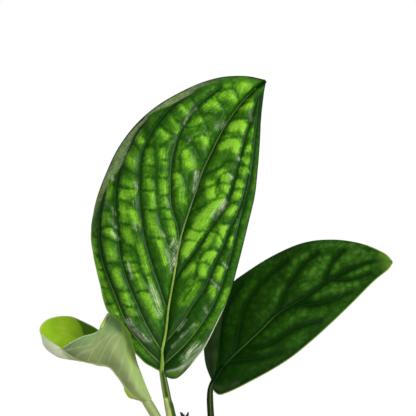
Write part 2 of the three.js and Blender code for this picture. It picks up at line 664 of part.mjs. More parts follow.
// Clay pot with a collar, a rounded lip and a drain hole in its floor.
function potSolid() {
  const collarFoot = POT_HEIGHT - COLLAR_HEIGHT;
  const collarFootRadius = POT_TOP_RADIUS - COLLAR_TAPER;
  const inside = innerRadius(POT_HEIGHT);
  const lipFoot = POT_HEIGHT - LIP_ROUNDING;
  const shoulder = LIP_ROUNDING * 0.3;
  const profile = [
    [DRAIN_RADIUS, 0],
    [POT_BASE_RADIUS - FOOT_ROUNDING, 0],
    [POT_BASE_RADIUS, FOOT_ROUNDING],
    [collarFootRadius - COLLAR_STEP, collarFoot],
    [collarFootRadius - 0.6 * COLLAR_ROUNDING, collarFoot],
    [collarFootRadius, collarFoot + COLLAR_ROUNDING],
    [POT_TOP_RADIUS, lipFoot],
    [POT_TOP_RADIUS - shoulder, POT_HEIGHT - shoulder],
    [POT_TOP_RADIUS - LIP_ROUNDING, POT_HEIGHT],
    [inside + LIP_ROUNDING, POT_HEIGHT],
    [inside + shoulder, POT_HEIGHT - shoulder],
    [innerRadius(lipFoot), lipFoot],
    [innerRadius(POT_FLOOR + INNER_COVE), POT_FLOOR + INNER_COVE],
    [innerRadius(POT_FLOOR) - 0.75 * INNER_COVE, POT_FLOOR],
    [DRAIN_RADIUS, POT_FLOOR],
    [DRAIN_RADIUS, 0],
  ];
  return revolved(profile, POT_SIDES);
}

// Height of the soil's top at a place: a low mound with gentle lumps that die out at the wall.
function soilTop(x, y) {
  const radius = Math.hypot(x, y);
  const mound = SOIL_MOUND.height * bump(radius, SOIL_MOUND.radius);
  const edge = 1 - smoothstep(0.85, 1, radius / innerRadius(SOIL_LEVEL));
  const lumps = Math.sin(x * 0.42 + 1.3) * Math.cos(y * 0.37) + 0.7 * Math.sin(x * 0.21 - y * 0.33 + 2);
  return SOIL_LEVEL + mound + SOIL_LUMP * lumps * edge;
}

// The soil fills the pot to a little under its lip: two flat rings at the bottom, then the rings
// of its uneven top.
function soilSolid() {
  const floor = POT_FLOOR + CLEARANCE;
  const loops = [
    { radius: innerRadius(POT_FLOOR) - 0.75 * INNER_COVE - 2 * CLEARANCE, height: () => floor },
    { radius: innerRadius(POT_FLOOR + INNER_COVE) - 2 * CLEARANCE, height: () => POT_FLOOR + INNER_COVE },
  ];
  const rim = innerRadius(SOIL_LEVEL) - 2 * CLEARANCE;
  for (let ring = SOIL_RINGS; ring > 0; ring--) {
    loops.push({ radius: (rim * ring) / SOIL_RINGS, height: soilTop });
  }
  const vertices = [];
  for (const { radius, height } of loops) {
    for (let k = 0; k < SOIL_SIDES; k++) {
      const turn = (2 * Math.PI * k) / SOIL_SIDES;
      const [x, y] = [radius * Math.cos(turn), radius * Math.sin(turn)];
      vertices.push(new THREE.Vector3(x, y, height(x, y)));
    }
  }
  const middle = vertices.length;
  const lastLoop = (loops.length - 1) * SOIL_SIDES;
  vertices.push(new THREE.Vector3(0, 0, floor), new THREE.Vector3(0, 0, soilTop(0, 0)));
  const triangles = [];
  for (let k = 0; k < SOIL_SIDES; k++) {
    const next = (k + 1) % SOIL_SIDES;
    triangles.push(middle, next, k, middle + 1, lastLoop + k, lastLoop + next);
    for (let loop = 0; loop < lastLoop; loop += SOIL_SIDES) {
      const [p, q] = [loop + k, loop + next];
      triangles.push(p, q, q + SOIL_SIDES, p, q + SOIL_SIDES, p + SOIL_SIDES);
    }
  }
  return toSolid(geometryOf(vertices, triangles));
}

function without(solid, ...rooms) {
  return toGeometry(rooms.reduce((rest, room) => rest.subtract(room), solid));
}

// What lies below and to the left of a line across a stalk, drawn along the edge of its blade from
// its upper left to its lower right end.
function endedAt(geometry, [[left, upper], [right, lower]]) {
  const away = new THREE.Vector3(lower - upper, 0, left - right).normalize();
  return toSolid(geometry).trimByPlane(away.toArray(), away.x * left + away.z * upper);
}

function piece(name, geometry, { color, roughness }) {
  const material = new THREE.MeshStandardMaterial({ color, roughness, metalness: 0 });
  const mesh = new THREE.Mesh(geometry, material);
  mesh.name = name;
  return mesh;
}

// The room that the stem and the large stalk need in their neighbours, with a clearance all round.
const stemRoom = toSolid(stemGeometry(CLEARANCE));
const largeStalkRoom = toSolid(largeStalkGeometry(CLEARANCE));
const rightStalk = endedAt(rightStalkGeometry(), RIGHT_STALK.end);

const plant = new THREE.Group();
plant.add(
  piece("pot", toGeometry(potSolid()), FINISHES.clay),
  piece("soil", without(soilSolid(), stemRoom), FINISHES.compost),
  piece("stem", stemGeometry(0), FINISHES.woodyStem),
  piece("large_stalk", toGeometry(endedAt(largeStalkGeometry(0), LARGE_STALK.end)), FINISHES.greenStalk),
  piece("right_stalk", without(rightStalk, stemRoom), FINISHES.darkStalk),
  piece("young_stalk", without(toSolid(youngStalkGeometry()), stemRoom, largeStalkRoom), FINISHES.paleStalk),
  piece("dry_sheath", without(toSolid(drySheathGeometry()), stemRoom), FINISHES.drySheath),
  piece("large_blade", largeBladeGeometry(), FINISHES.glossyLeaf),
  piece("right_blade", rightBladeGeometry(), FINISHES.darkLeaf),
  piece("young_blade", youngBladeGeometry(), FINISHES.paleLeaf),
);

export default plant;
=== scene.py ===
"""Looks of a young climbing aroid: three leaves on their stalks, a short stem, soil and a clay pot."""

import math

import bmesh
import bpy
import numpy as np
from bpy.props import FloatProperty, FloatVectorProperty, IntProperty, PointerProperty
from mathutils import Matrix, Vector, noise


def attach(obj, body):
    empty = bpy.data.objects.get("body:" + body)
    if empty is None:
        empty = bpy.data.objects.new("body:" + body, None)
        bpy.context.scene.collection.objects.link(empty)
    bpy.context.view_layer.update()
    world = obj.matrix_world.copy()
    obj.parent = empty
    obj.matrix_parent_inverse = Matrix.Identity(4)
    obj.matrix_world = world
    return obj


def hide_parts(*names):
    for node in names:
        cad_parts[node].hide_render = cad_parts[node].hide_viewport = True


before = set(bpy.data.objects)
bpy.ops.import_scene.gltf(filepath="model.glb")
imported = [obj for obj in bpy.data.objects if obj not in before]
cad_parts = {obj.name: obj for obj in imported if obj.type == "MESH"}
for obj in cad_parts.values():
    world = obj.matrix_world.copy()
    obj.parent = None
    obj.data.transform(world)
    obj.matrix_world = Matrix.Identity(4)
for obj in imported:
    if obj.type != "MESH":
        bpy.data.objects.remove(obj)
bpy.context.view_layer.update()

bl_info = {
    "name": "Potted climbing aroid",
    "version": (1, 0, 0),
    "blender": (4, 5, 0),
    "location": "View3D > Sidebar > Aroid",
    "description": "Builds the leaves, stalks, soil and clay pot of a small climbing aroid",
    "category": "Add Mesh",
}

BODY = "root"
MM = 0.001
MERGE = 1e-6
TO_VIEWER = np.array([0.0, -1.0, 0.0])

# What the blades share: their thickness in millimetres, the power by which their columns crowd
# towards the midrib, and the share of the midrib that stands out as a rib.
BLADE_SKIN = 0.6
MIDRIB_CROWDING = 1.3
MIDRIB_SHARE = 0.96
# Vertices whose share of the rib's extra thickness is below this are left out of it.
LEAST_WEIGHT = 0.003

# Drawings of the blades in millimetres from the joint with the stalk: right, then up.
# Of each blade: the place of its joint as right, depth and up; how high its cells stand, and how far
# from a vein they reach that height; how much the fine veins cut into them; and the power by which
# its rows start lower on the midrib than they end on the margins.
LARGE_JOINT = (-27, -3, 174.5)
LARGE_RELIEF = 1.8
LARGE_REACH = 2.6
LARGE_CREASE = 0.4
LARGE_FAN = 1.3
LARGE_MIDRIB = [
    (0, 0), (0, 9), (2, 20), (3.5, 33.5), (5.5, 44.5), (9, 65.5), (13, 78.5), (16.5, 89), (20, 99.5),
    (25, 110), (31, 122), (38, 132), (45.2, 140.2), (52, 145.4),
]
LARGE_LEFT_MARGIN = [
    (-1, -0.2), (-5, 2), (-8.5, 4), (-11.5, 7), (-14, 10), (-17, 20), (-23, 27), (-27.2, 30.5), (-31.1, 44.5),
    (-34.6, 60.5), (-35.4, 70), (-33, 84.5), (-27.6, 99.5), (-21.8, 111.5), (-12.8, 123.5), (-1.8, 133),
    (13.3, 141.5), (23.4, 145.5), (32, 147.3), (44, 147.4), (51.5, 145.9),
]
LARGE_RIGHT_MARGIN = [
    (1, -1.5), (2.5, -3), (4.8, -3.9), (7.4, -3.7), (10.6, -1.2), (13.4, 2), (17, 6.5), (21, 12), (27, 24),
    (33.2, 37.5), (37.2, 51.5), (40.3, 63.5), (43.2, 75.5), (46, 87.5), (47.4, 99.5), (48.4, 111.5),
    (49.5, 129.5), (50.6, 138), (52.1, 144.9),
]
LARGE_LATERALS = [
    [
        (-1, 5), (-9.5, 13.5), (-16.5, 23), (-23, 38), (-29, 54), (-31, 64.5), (-31, 73),
        (-30.5, 81), (-28, 92),
    ],
    [
        (-0.5, 11.5), (-7, 22.5), (-12.5, 34.5), (-16.5, 44), (-20, 56), (-22, 71.5), (-23, 83),
        (-22, 95.5), (-19, 106.5), (-15, 115.5), (-8.5, 125),
    ],
    [
        (2, 33), (0, 39.5), (-5, 54.5), (-8, 65), (-10, 77.5), (-11, 93), (-10, 107.5), (-6, 117.5),
        (-1, 125), (5, 132), (14, 139),
    ],
    [
        (9, 66), (8, 72.5), (5, 82.5), (4.5, 90.5), (5, 103), (7, 113), (12, 124.5), (16, 130.5),
        (23, 137), (29, 141.5),
    ],
    [
        (1.5, 3.5), (12, 13.5), (21, 25), (28, 38), (32.5, 51), (36.5, 65.5), (40.5, 81.5), (44, 95.5),
        (46, 110.5), (49, 138),
    ],
    [
        (1.5, 13.5), (10, 24), (16, 33.5), (21.5, 41.5), (25.5, 51.5), (30.5, 62), (34, 71), (38, 79),
        (41, 88.5), (43, 98),
    ],
    [
        (6.5, 45.5), (11, 52.5), (17, 60.5), (25.5, 73), (32.5, 84.5), (35.5, 93.5), (39, 106.5),
        (42.5, 119), (48, 137),
    ],
]
LARGE_MINOR_VEINS = [
    [(7, 53.5), (3, 63.5), (-1, 74.5), (-3, 87.5), (-3, 98), (-3, 108), (0, 113), (7, 117.5)],
    [(1, 19.5), (-2.5, 31.5), (-6, 41.5), (-11, 52), (-13, 60.5), (-20.5, 65)],
    [(23, 106.5), (19.5, 105), (16, 111.5), (12, 116), (9, 117)],
    [(25, 110.5), (23, 118), (20, 127), (14.5, 137)],
    [(33, 126), (30, 131.5), (26, 138)],
    [(39, 134), (37, 138), (35, 143.5)],
    [(11, 35.5), (16, 44), (18, 53), (21, 59.5), (26, 61), (29, 59.5)],
]
LARGE_CROSS_VEINS = [
    [(-35, 69.5), (-31, 65.5)], [(-34, 59.5), (-30, 57)], [(-32, 51.5), (-28, 50)], [(-31, 43), (-26, 41.5)],
    [(-28, 34), (-22, 34)], [(-22, 28), (-18, 25.5)], [(-15, 17.5), (-11, 15.5)], [(-35, 78.5), (-31, 79)],
    [(-31, 80), (-26, 80), (-23, 78.5)], [(-31, 71), (-26, 72.5), (-22, 71.5)],
    [(-31, 68), (-26, 66), (-21, 63.5)], [(-28, 54), (-23, 54), (-19, 51.5)],
    [(-25, 41), (-20, 40.5), (-15, 40)], [(-22, 34), (-16, 32.5), (-12, 32.5)],
    [(-19, 27.5), (-14, 27), (-9, 26.5)], [(-11, 15.5), (-7, 17.5), (-5, 18.5)],
    [(-22, 86), (-17, 84.5), (-11, 79)], [(-21, 74), (-16, 73), (-9, 70)],
    [(-22, 92.5), (-17, 91.5), (-11, 90.5)], [(-20, 102), (-16, 99.5), (-11, 97.5)],
    [(-15, 114.5), (-12, 111.5), (-10, 109)], [(-9, 124), (-8, 120.5), (-6, 117.5)],
    [(-19, 54.5), (-15, 54.5), (-11, 54.5)], [(-17, 49), (-13, 49.5), (-9, 49)],
    [(-14, 39), (-10, 40.5), (-6, 40.5)], [(-9, 47.5), (-6, 48.5), (-3, 49.5)],
    [(-11, 96.5), (-7, 97), (-3, 96.5)], [(-10, 102.5), (-7, 102.5), (-3, 102)],
    [(-8, 112.5), (-5, 113), (-2, 109)], [(-11, 90.5), (-7, 90), (-3, 90.5)],
    [(-10, 81), (-6, 80.5), (-2, 80.5)], [(-8, 67), (-4, 66.5), (2, 66.5)],
    [(-3, 105), (1, 105.5), (5, 105)], [(-3, 96.5), (0, 96.5), (4, 96.5)],
    [(-3, 88.5), (1, 87.5), (4, 87.5)],
    [(-2, 81), (1, 81.5), (5, 81.5)], [(-1, 76), (3, 76), (7, 76.5)], [(2, 66.5), (5, 67.5), (9, 66.5)],
    [(-2, 124.5), (2, 120), (9, 117)], [(4, 131), (7, 125), (11, 122)], [(9, 135), (12, 131.5), (15, 129)],
    [(6, 99.5), (9, 99.5), (12, 90.5), (14, 81.5)], [(9, 99.5), (9, 109.5), (13, 112.5), (14, 114)],
    [(5, 82), (9, 79.5), (11, 73.5)], [(12, 90.5), (14, 99.5), (18, 100.5)],
    [(11, 122), (16, 122), (21, 123.5)], [(16, 117), (19, 118.5), (23, 117)],
    [(20, 127), (22, 129), (27, 127.5), (30, 130.5)], [(27, 136), (30, 140.5), (36, 141.5)],
    [(14, 79), (18, 81), (23, 83.5), (28, 86), (33, 86.5)], [(28, 86), (27, 90.5), (28, 93.5)],
    [(19, 96), (24, 99), (29, 101), (32, 104.5), (38, 104.5)],
    [(28, 93.5), (29, 97), (34, 99.5), (37, 98.5)],
    [(17, 89), (21, 90.5), (28, 93.5), (35, 93.5)], [(26, 112.5), (30, 115), (36, 116.5), (42, 116.5)],
    [(34, 125), (38, 126), (44, 126)], [(39, 132.5), (41, 133.5), (47, 135)],
    [(12, 72.5), (17, 70), (23, 70)],
    [(10, 64), (14, 65.5), (19, 64)], [(42, 124.5), (45, 123.5), (48, 123.5)],
    [(39, 108.5), (43, 109), (46, 109)], [(38, 102.5), (41, 103), (45, 101.5)],
    [(36, 96), (40, 96.5), (44, 95.5)], [(34, 90.5), (38, 91), (41, 90.5)], [(32, 84), (36, 84), (39, 82.5)],
    [(27, 74.5), (32, 73.5), (36, 74)], [(23, 70), (27, 69.5), (31, 64.5)],
    [(18, 54), (22, 54.5), (25, 51.5)],
    [(14, 42), (17, 45), (23, 45.5)], [(33, 69), (38, 68)], [(30, 61), (35, 60.5)],
    [(26, 53.5), (30, 53.5), (33, 51)], [(23, 46), (26, 43.5), (29, 40.5)], [(20, 37), (23, 34), (25, 32.5)],
    [(15, 30.5), (18, 26.5), (20, 24.5)], [(9, 22.5), (12, 18.5), (14, 15.5)],
]

# Crests of the large blade's cells, lit crowns partly of their own brighter green and partly painted light:
# how light, how wide in millimetres, and the lines they follow.
LARGE_CRESTS = [
    (0.95, 1.5, [
        [(-34, 62), (-31.5, 50), (-29.5, 40.5), (-26.5, 32.5), (-20.5, 27), (-16, 19), (-13, 11)],
        [(-2, 65), (-0.2, 59.5), (1.2, 54)],
        [(-7.5, 48.5), (-5.8, 43.5), (-4.2, 38.5), (-2.6, 32.5), (-1.2, 27)],
    ]),
    (1.0, 3.0, [
        [(13.5, 63), (17.5, 70), (21.5, 77), (25.5, 82), (30, 85)], [(12, 59.5), (15.5, 64.5), (19.5, 70)],
        [(11, 109.5), (12.5, 105), (14.5, 101.5)], [(35.5, 122), (39, 123), (42, 120.5)],
        [(30, 112.5), (35, 114.5), (38, 111)], [(37.5, 141), (40.5, 143), (43, 142.5)],
        [(28, 137.5), (32, 140), (35.5, 136.5)], [(31, 97.5), (32, 92)], [(21.5, 55), (25, 58.5)],
        [(25, 92), (25, 88)], [(-19.5, 87.5), (-15, 89)], [(-15.5, 79), (-13.5, 74.5)],
    ]),
    (0.75, 2.6, [
        [(21.5, 132.5), (25, 134), (28.5, 131.5)], [(17.5, 117.5), (20.5, 117), (21.5, 114)],
        [(-1, 119.5), (1.5, 116.5)], [(5.5, 125), (7.5, 120)], [(10.5, 131.5), (12.5, 128.5)],
        [(15, 122.5), (19, 124.5)], [(39, 132), (44.5, 133)], [(40.5, 110.5), (43.5, 110.5)],
        [(40.5, 105.5), (43, 104)], [(39.5, 100.5), (42.5, 98.5)], [(38, 93), (40.5, 91)],
        [(36, 87.5), (39, 87.5)], [(33.5, 79.5), (36.5, 81.5)], [(30.5, 71.5), (28.5, 63.5)],
        [(35, 65.5), (35, 64)], [(24.5, 69), (22, 64)], [(20.5, 49.5), (20, 52.5)],
        [(27.5, 48), (29, 50.5)], [(11, 49), (15.5, 52)], [(16.5, 44), (14, 39), (10.5, 34.5)],
        [(24.5, 42), (25.5, 38.5)], [(-7.5, 96.5), (-5.5, 89), (-5, 82)],
        [(-6.5, 78.5), (-4, 72.5), (-2, 67)], [(0, 96.5), (1, 90), (2, 83)],
        [(3, 79), (4.5, 73), (6, 67.5)], [(-18.5, 94.5), (-15.5, 92.5)], [(-19.5, 81.5), (-18.5, 75.5)],
        [(-18, 69.5), (-15, 65)], [(-18, 56.5), (-15.5, 53.5)], [(-15.5, 50.5), (-12.5, 48)],
        [(-11.5, 62), (-9.5, 55), (-8, 50)],
        [(-11, 45), (-9, 39.5), (-7, 34), (-4, 28)], [(-26.5, 94), (-27.5, 87.5)],
        [(-28, 79), (-28.5, 74.5)], [(-27.5, 71), (-24.5, 68)], [(-27, 62.5), (-25, 57.5)],
        [(-23.5, 49.5), (-21, 43.5)], [(-19.5, 39.5), (-17.5, 34), (-15.5, 29)],
        [(21, 24.5), (17, 19.5), (12, 12.5)], [(10.5, 6.5), (17, 14.5)], [(9.5, 90.5), (9.5, 85.5)],
        [(7.5, 93.5), (7, 97.5)], [(-12, 119), (-10.5, 115.5)], [(-17, 107.5), (-15, 103.5)],
        [(-7, 109), (-6.5, 103.5)], [(-0.5, 109.5), (0.5, 105)],
    ]),
    (0.55, 2.2, [
        [(-32.5, 54.5), (-29, 44.5), (-25.5, 35.5), (-21.5, 27.5), (-17, 19), (-12.5, 13), (-7, 7)],
        [(23, 23), (28, 33), (31.5, 40.5)], [(17, 15.5), (13, 9.5)], [(39, 78), (36.5, 71.5)],
        [(-33.5, 68), (-33, 60.5)],
    ]),
]
# Painted highlights: pale streaks of shine on its slopes, told the same way.
LARGE_PAINTED_SHEEN = [
    (1.0, 1.7, [
        [(-16.5, 25.5), (-13.5, 21.5), (-10, 18), (-6.5, 15)], [(10.5, 6.5), (14, 10.5), (17.5, 14)],
        [(9.5, 1), (14, 4), (17, 7.5), (20.5, 12.5)], [(-5.5, 42.5), (-3, 36.5), (-1.5, 29)],
        [(6, 53.5), (6.5, 59.5), (8, 64)], [(17, 99), (16.5, 94), (16, 90.5)],
        [(27.5, 121.5), (30.5, 123.5)], [(31, 84), (28.5, 80.5), (26, 77.5)],
    ]),
    (0.7, 1.0, [
        [(12.5, 116.5), (13.5, 115.5)], [(11, 123.5), (13, 127.5), (17, 131)],
        [(38, 106.5), (38.5, 105.5)], [(33, 98), (35, 96.5)], [(30.5, 54), (32, 52)],
        [(24.5, 45.5), (28, 41.5)], [(21, 32), (22.5, 29.5)], [(-25, 69.5), (-22, 66)],
        [(-14, 74.5), (-13, 70.5)], [(-14.5, 84.5), (-13, 82)], [(-0.5, 69.5), (1, 67)],
        [(4, 62), (6.5, 67.5)], [(2, 60.5), (3.5, 55.5), (4.5, 49.5)], [(2, 86.5), (3, 82)],
        [(20.5, 111.5), (21.5, 108.5)], [(-27.5, 100.5), (-24, 95.5)], [(-26.5, 84), (-23.5, 78.5)],
        [(-25.5, 75.5), (-23, 72)], [(-13.5, 94), (-12.5, 90.5)], [(-15, 46.5), (-17, 54.5)],
        [(8, 20.5), (12, 25.5)], [(5.5, 12.5), (11, 18.5), (16, 23.5)], [(44, 129.5), (44.5, 125.5)],
    ]),
]
# The ridge of its right-hand lobe, painted with a highlight line; outside it the turned-back strip is painted
# an even lighter green, as painted light.
LARGE_LOBE_RIDGE = [(2.5, 0), (9, 2), (16, 9), (24.5, 21), (32.5, 37.5)]

RIGHT_JOINT = (-1.5, 14, 168)
RIGHT_RELIEF = 0.8
RIGHT_REACH = 3.0
RIGHT_FAN = 1.2
RIGHT_MIDRIB = [
    (0, 0), (4.5, 7.5), (11.5, 14.5), (18.5, 21), (25.5, 27.5), (32.5, 34.5), (41, 39.5), (50, 45.5),
    (57, 50.5), (64, 54.5), (71, 58), (78, 60.5), (84, 61.4), (90.4, 60.7),
]
RIGHT_UPPER_MARGIN = [
    (-0.8, 1), (-3.5, 7.5), (-4.5, 13), (-4.7, 19), (-3.5, 27.5), (-0.5, 36), (4, 43.5), (9.5, 50),
    (17, 55.6), (29, 63.1), (41.5, 69), (50, 71.3), (59, 72), (67.5, 71.5), (76.5, 69.6), (83.2, 67),
    (87.8, 64.4), (90.6, 61.2),
]
RIGHT_LOWER_MARGIN = [
    (-0.6, -1.4), (0.5, -4.4), (3, -6.2), (6.5, -5.4), (11.5, -3.3), (18.5, 0.2), (29, 5.8), (39.5, 12.4),
    (50, 20.9), (60.5, 30.4), (71, 40.6), (81.5, 51.2), (88.8, 57.4), (90.6, 60.2),
]
RIGHT_LATERALS = [
    [(2.5, 5.5), (3, 12), (3.5, 22.5), (5, 31.5), (9, 42.5), (14.5, 50.5)],
    [(11, 14.5), (12, 20), (14.5, 33), (18, 41.5), (22.5, 47.5), (28.5, 54), (37, 61)],
    [(33, 35.5), (35, 42), (37, 47), (41.5, 54), (45, 59), (53, 65.5)],
    [(56.5, 51), (58, 56), (60.5, 61), (66, 66.5)],
    [(8, 10.5), (16, 11.5), (24, 12.5), (34, 15)],
    [(16.5, 18.5), (22.5, 17.5), (29, 19.5), (36, 24), (43, 28), (54, 31)],
    [(43, 39.5), (48.5, 39), (54.5, 40), (61.5, 42), (70, 46)],
    [(59, 52), (65, 51.5), (72, 52.5), (79, 55)],
]

# Lighter spots of its dark face, told like the large blade's crests.
RIGHT_CRESTS = [
    (1.0, 3.6, [
        [(62, 47), (66, 50), (70, 51.5)], [(72, 53.5), (76.5, 56.5)], [(49, 54), (53, 56.5)],
        [(65.5, 63), (70, 65)], [(57, 61.5), (60.5, 58.5)], [(74.5, 61), (79.5, 61)],
    ]),
    (0.7, 3.2, [
        [(39.5, 55), (42.5, 60)], [(44.5, 62), (48, 63)], [(42.5, 32.5), (46, 36)], [(37, 30), (40, 32)],
        [(27.5, 25), (33, 26.5)], [(52, 43), (58.5, 46)], [(50, 34), (55, 36.5)],
        [(24.5, 15.5), (28, 16.5)], [(38.5, 19.5), (44, 23)], [(52.5, 68), (63.5, 69), (74.5, 66.5)],
        [(79.5, 62), (84.5, 63)], [(61, 42), (69.5, 47)], [(46.5, 48), (51.5, 50)], [(17, 44), (19.5, 49)],
        [(31.5, 42), (34.5, 47)],
    ]),
    (0.4, 3.6, [
        [(19.5, 19.5), (24.5, 22)], [(24.5, 33), (28.5, 38)], [(12.5, 33), (14.5, 42)],
        [(24.5, 47), (28.5, 54.5)], [(16, 6), (26, 9.5), (36, 14.5)], [(7.5, 27), (9.5, 37)],
        [(21.5, 58), (28.5, 61)], [(56.5, 29.5), (63.5, 37)],
    ]),
]
RIGHT_FACET = [(6.5, 44), (4.5, 32), (3, 19.5), (2, 9.5), (0, 0)]
RIGHT_CREASE = [(43, 39.5), (53.5, 39.5), (63.5, 43)]
# Grey light along the bottom of its lower lobe.
RIGHT_LOBE_SHEEN = [(0.8, 1.6, [[(1.5, -2.6), (4.5, -3.4), (8, -2.2), (12, -0.2)]])]

# The young blade is still rolled: lines across it from base to tip, each from the near margin
# over the midrib to the far margin, as right, depth, up from its joint.
YOUNG_JOINT = (-34.7, 0, 159)
YOUNG_RIBS = 9
YOUNG_LINES = [
    [
        (1.6, 5.4, 1.6), (1.6, 0.6, 1.2), (0.6, -1.6, 0.6), (-1.5, 0.2, 0),
        (-1.6, 2.2, 0.8), (-0.8, 3.2, 1.2), (-0.2, 2.4, 1.3),
    ],
    [
        (-3, 7.8, 9), (-1.2, 1.2, 8), (-4.5, -2.6, 5.8), (-8, 0.8, 4.6),
        (-9.2, 4.4, 4.7), (-10.4, 6, 4.9), (-9.6, 7.2, 3.7),
    ],
    [
        (-8, 9, 22.5), (-5.6, 0.8, 19.6), (-9.6, -4, 15.6), (-14.2, 1, 13),
        (-14, 6.4, 15.8), (-10.6, 8.4, 19.2), (-7.4, 5.8, 21),
    ],
    [
        (-8, 10.5, 40), (-9, 0.6, 32), (-14.6, -4, 23.4), (-18.6, 1.4, 17.8),
        (-19, 7.6, 20.6), (-15.5, 11.4, 27.6), (-10, 9.5, 35),
    ],
    [
        (-13.2, 5.6, 49.4), (-15.4, -0.3, 40.2), (-19.6, -4.2, 28), (-23.4, 1.4, 18.8),
        (-23.8, 8.6, 22), (-21.4, 15, 32.4), (-14.4, 14, 37.5),
    ],
    [
        (-18.9, 1, 44.8), (-22, -2.5, 35.6), (-24.8, -4.2, 26.4), (-27.4, 1.4, 19.8),
        (-28.8, 9, 22.8), (-28, 17.5, 32.5), (-20.4, 17.5, 33.8),
    ],
    [
        (-24.5, -2.6, 35.6), (-27.8, -3.8, 29.8), (-29.6, -3.6, 25), (-31, 1, 20.6),
        (-33.8, 8, 22.8), (-35, 17, 31), (-28.8, 20, 38),
    ],
    [
        (-31.8, -3, 33), (-33, -3.2, 28), (-33.8, -2.6, 24.4), (-34.4, 0.8, 21.6),
        (-39.4, 6, 22.4), (-43, 15, 29.4), (-39.4, 19, 42.4),
    ],
    [
        (-36.4, -2.8, 30.8), (-36.8, -2.4, 27.8), (-37, -1.8, 25), (-37.2, 0.4, 23),
        (-44, 4, 22.8), (-51, 10.8, 28.8), (-50.2, 15.5, 40.9),
    ],
    [
        (-39.6, -2, 28.8), (-39.8, -1.6, 27.2), (-39.8, -1.2, 25.8), (-39.8, 0, 24.6),
        (-45, 1.8, 24.6), (-50, 5, 28.4), (-53.1, 7.2, 34.4),
    ],
    [
        (-42.2, -1, 27.1), (-42.25, -1, 26.9), (-42.3, -0.9, 26.7), (-42.35, -0.7, 26.5),
        (-42.6, -0.4, 26.5), (-42.7, -0.2, 26.7), (-42.7, 0, 27),
    ],
]
YOUNG_CREASE = [(-13.6, 42), (-13, 34), (-12, 27), (-9.5, 19), (-6.5, 10), (-3.5, 3)]
YOUNG_VEINS = [(1.0, 0.5, [
    [(-40.5, 26), (-33.5, 27.5), (-26.5, 29)], [(-29.5, 21), (-27, 26), (-23.5, 30), (-19.5, 33)],
    [(-24.5, 20.5), (-21.5, 26), (-18.5, 31), (-15, 34)],
    [(-19.5, 19.5), (-17.5, 25), (-15, 29.5), (-13.5, 32.5)], [(-13.5, 15), (-11.5, 24), (-10, 31)],
    [(-9, 10.5), (-8, 19), (-8.5, 27.5)], [(-5.5, 6.5), (-5, 14), (-6.5, 21)],
    [(-35.5, 23), (-29.5, 26), (-25, 27.5)], [(-23.5, 35.5), (-19.5, 40), (-17.5, 44)],
])]
# Fine lines inside its cup, and the line beyond which the cup is in the shade.
YOUNG_CUP_LINES = [
    (1.0, 0.35, [[(-43.5, 34.2), (-40.5, 33.2), (-37.5, 31.8), (-34.5, 29.5)]]),
    (0.5, 0.8, [[(-47, 30), (-44, 32)], [(-46, 37), (-41, 36)]]),
]
YOUNG_CUP_SHADE = [(-38, 43), (-35.4, 40.2), (-33.4, 36.8), (-32.4, 33.4), (-31, 29)]
# Above this line its outside is smoother and greener.
YOUNG_SHOULDER = [(-28.5, 30), (-25, 32.5), (-21.5, 34.5), (-17.5, 35), (-13, 34), (-10.5, 33)]

# Stem, stalks and dry sheath in millimetres from the pot's foot: right, depth, up.
STEM_PATH = [(1, 1, 58), (0.6, 1, 84), (0, 1, 95), (-3.2, 0.8, 102.5), (-8, 0, 109.5)]
STEM_RADIUS = 4.3
STEM_NODES = (0.83, 0.985)
LARGE_STALK_PATH = [
    (-8.8, -0.1, 110.4), (-14.8, -0.2, 126), (-19.2, -1, 140), (-22.7, -1.8, 152), (-25, -2.8, 164),
    (-26.3, -3.2, 171), (-27, -3.4, 175.4),
]
LARGE_STALK_RUN = [(-26.9, -4.4, 179), (-26.8, -4.9, 183)]
SHEATH_END = 0.74
RIGHT_STALK_PATH = [
    (-2.2, 5.6, 101.5), (-1, 8, 108), (-1.4, 11, 128), (-2.6, 13.4, 150), (-3.1, 14, 160),
    (-2.8, 14.4, 165), (-1.6, 14.4, 168.4),
]
RIGHT_STALK_RUN = [(0.8, 15, 172.2), (3.6, 16.4, 176.4)]
YOUNG_STALK_PATH = [
    (-11.4, -4.4, 107.5), (-15.4, -5.6, 118), (-20.6, -6, 132), (-26.4, -4.4, 145), (-30, -2.4, 151.6),
    (-34, -0.1, 158.2),
]
YOUNG_STALK_RUN = [(-36.4, 1, 161.6), (-39.5, 1.8, 165)]
DRY_SHEATH_PATH = [(-8.4, 4.8, 104), (-9.4, 5.8, 116), (-11.6, 6.2, 134), (-16.1, 6, 153.8)]

# Pot and soil in millimetres. The grains lie on the soil inside a field, clear of the stem's foot.
DRAIN_RADIUS = 7.0
POT_FLOOR = 7.0
SOIL_TOP = 93
SOIL_RIM = 51.3
SOIL_FOOT = 33.2
SOIL_BOTTOM = 7.4
SOIL_CHAMFER = 3.6
SOIL_RINGS = 70
SOIL_SINK = 0.3
GRAIN_FIELD = 50.0
STEM_FOOT = (0.2, 1)
STEM_CLEARANCE = 6
# Edges of the pot longer than this, in metres, are cut up so that its ripples show.
LONG_EDGE = 0.02


def clamp01(x):
    return np.clip(x, 0.0, 1.0)


def smoothstep(low, high, x):
    """Smooth rise from 0 to 1."""
    t = clamp01((np.asarray(x, float) - low) / (high - low))
    return t * t * (3 - 2 * t)


def falloff(low, high, x):
    """Smooth fall from 1 to 0."""
    return 1 - smoothstep(low, high, x)


def bump(x, width):
    """A rounded peak of 1 at 0."""
    return np.exp(-((np.asarray(x, float) / width) ** 2))


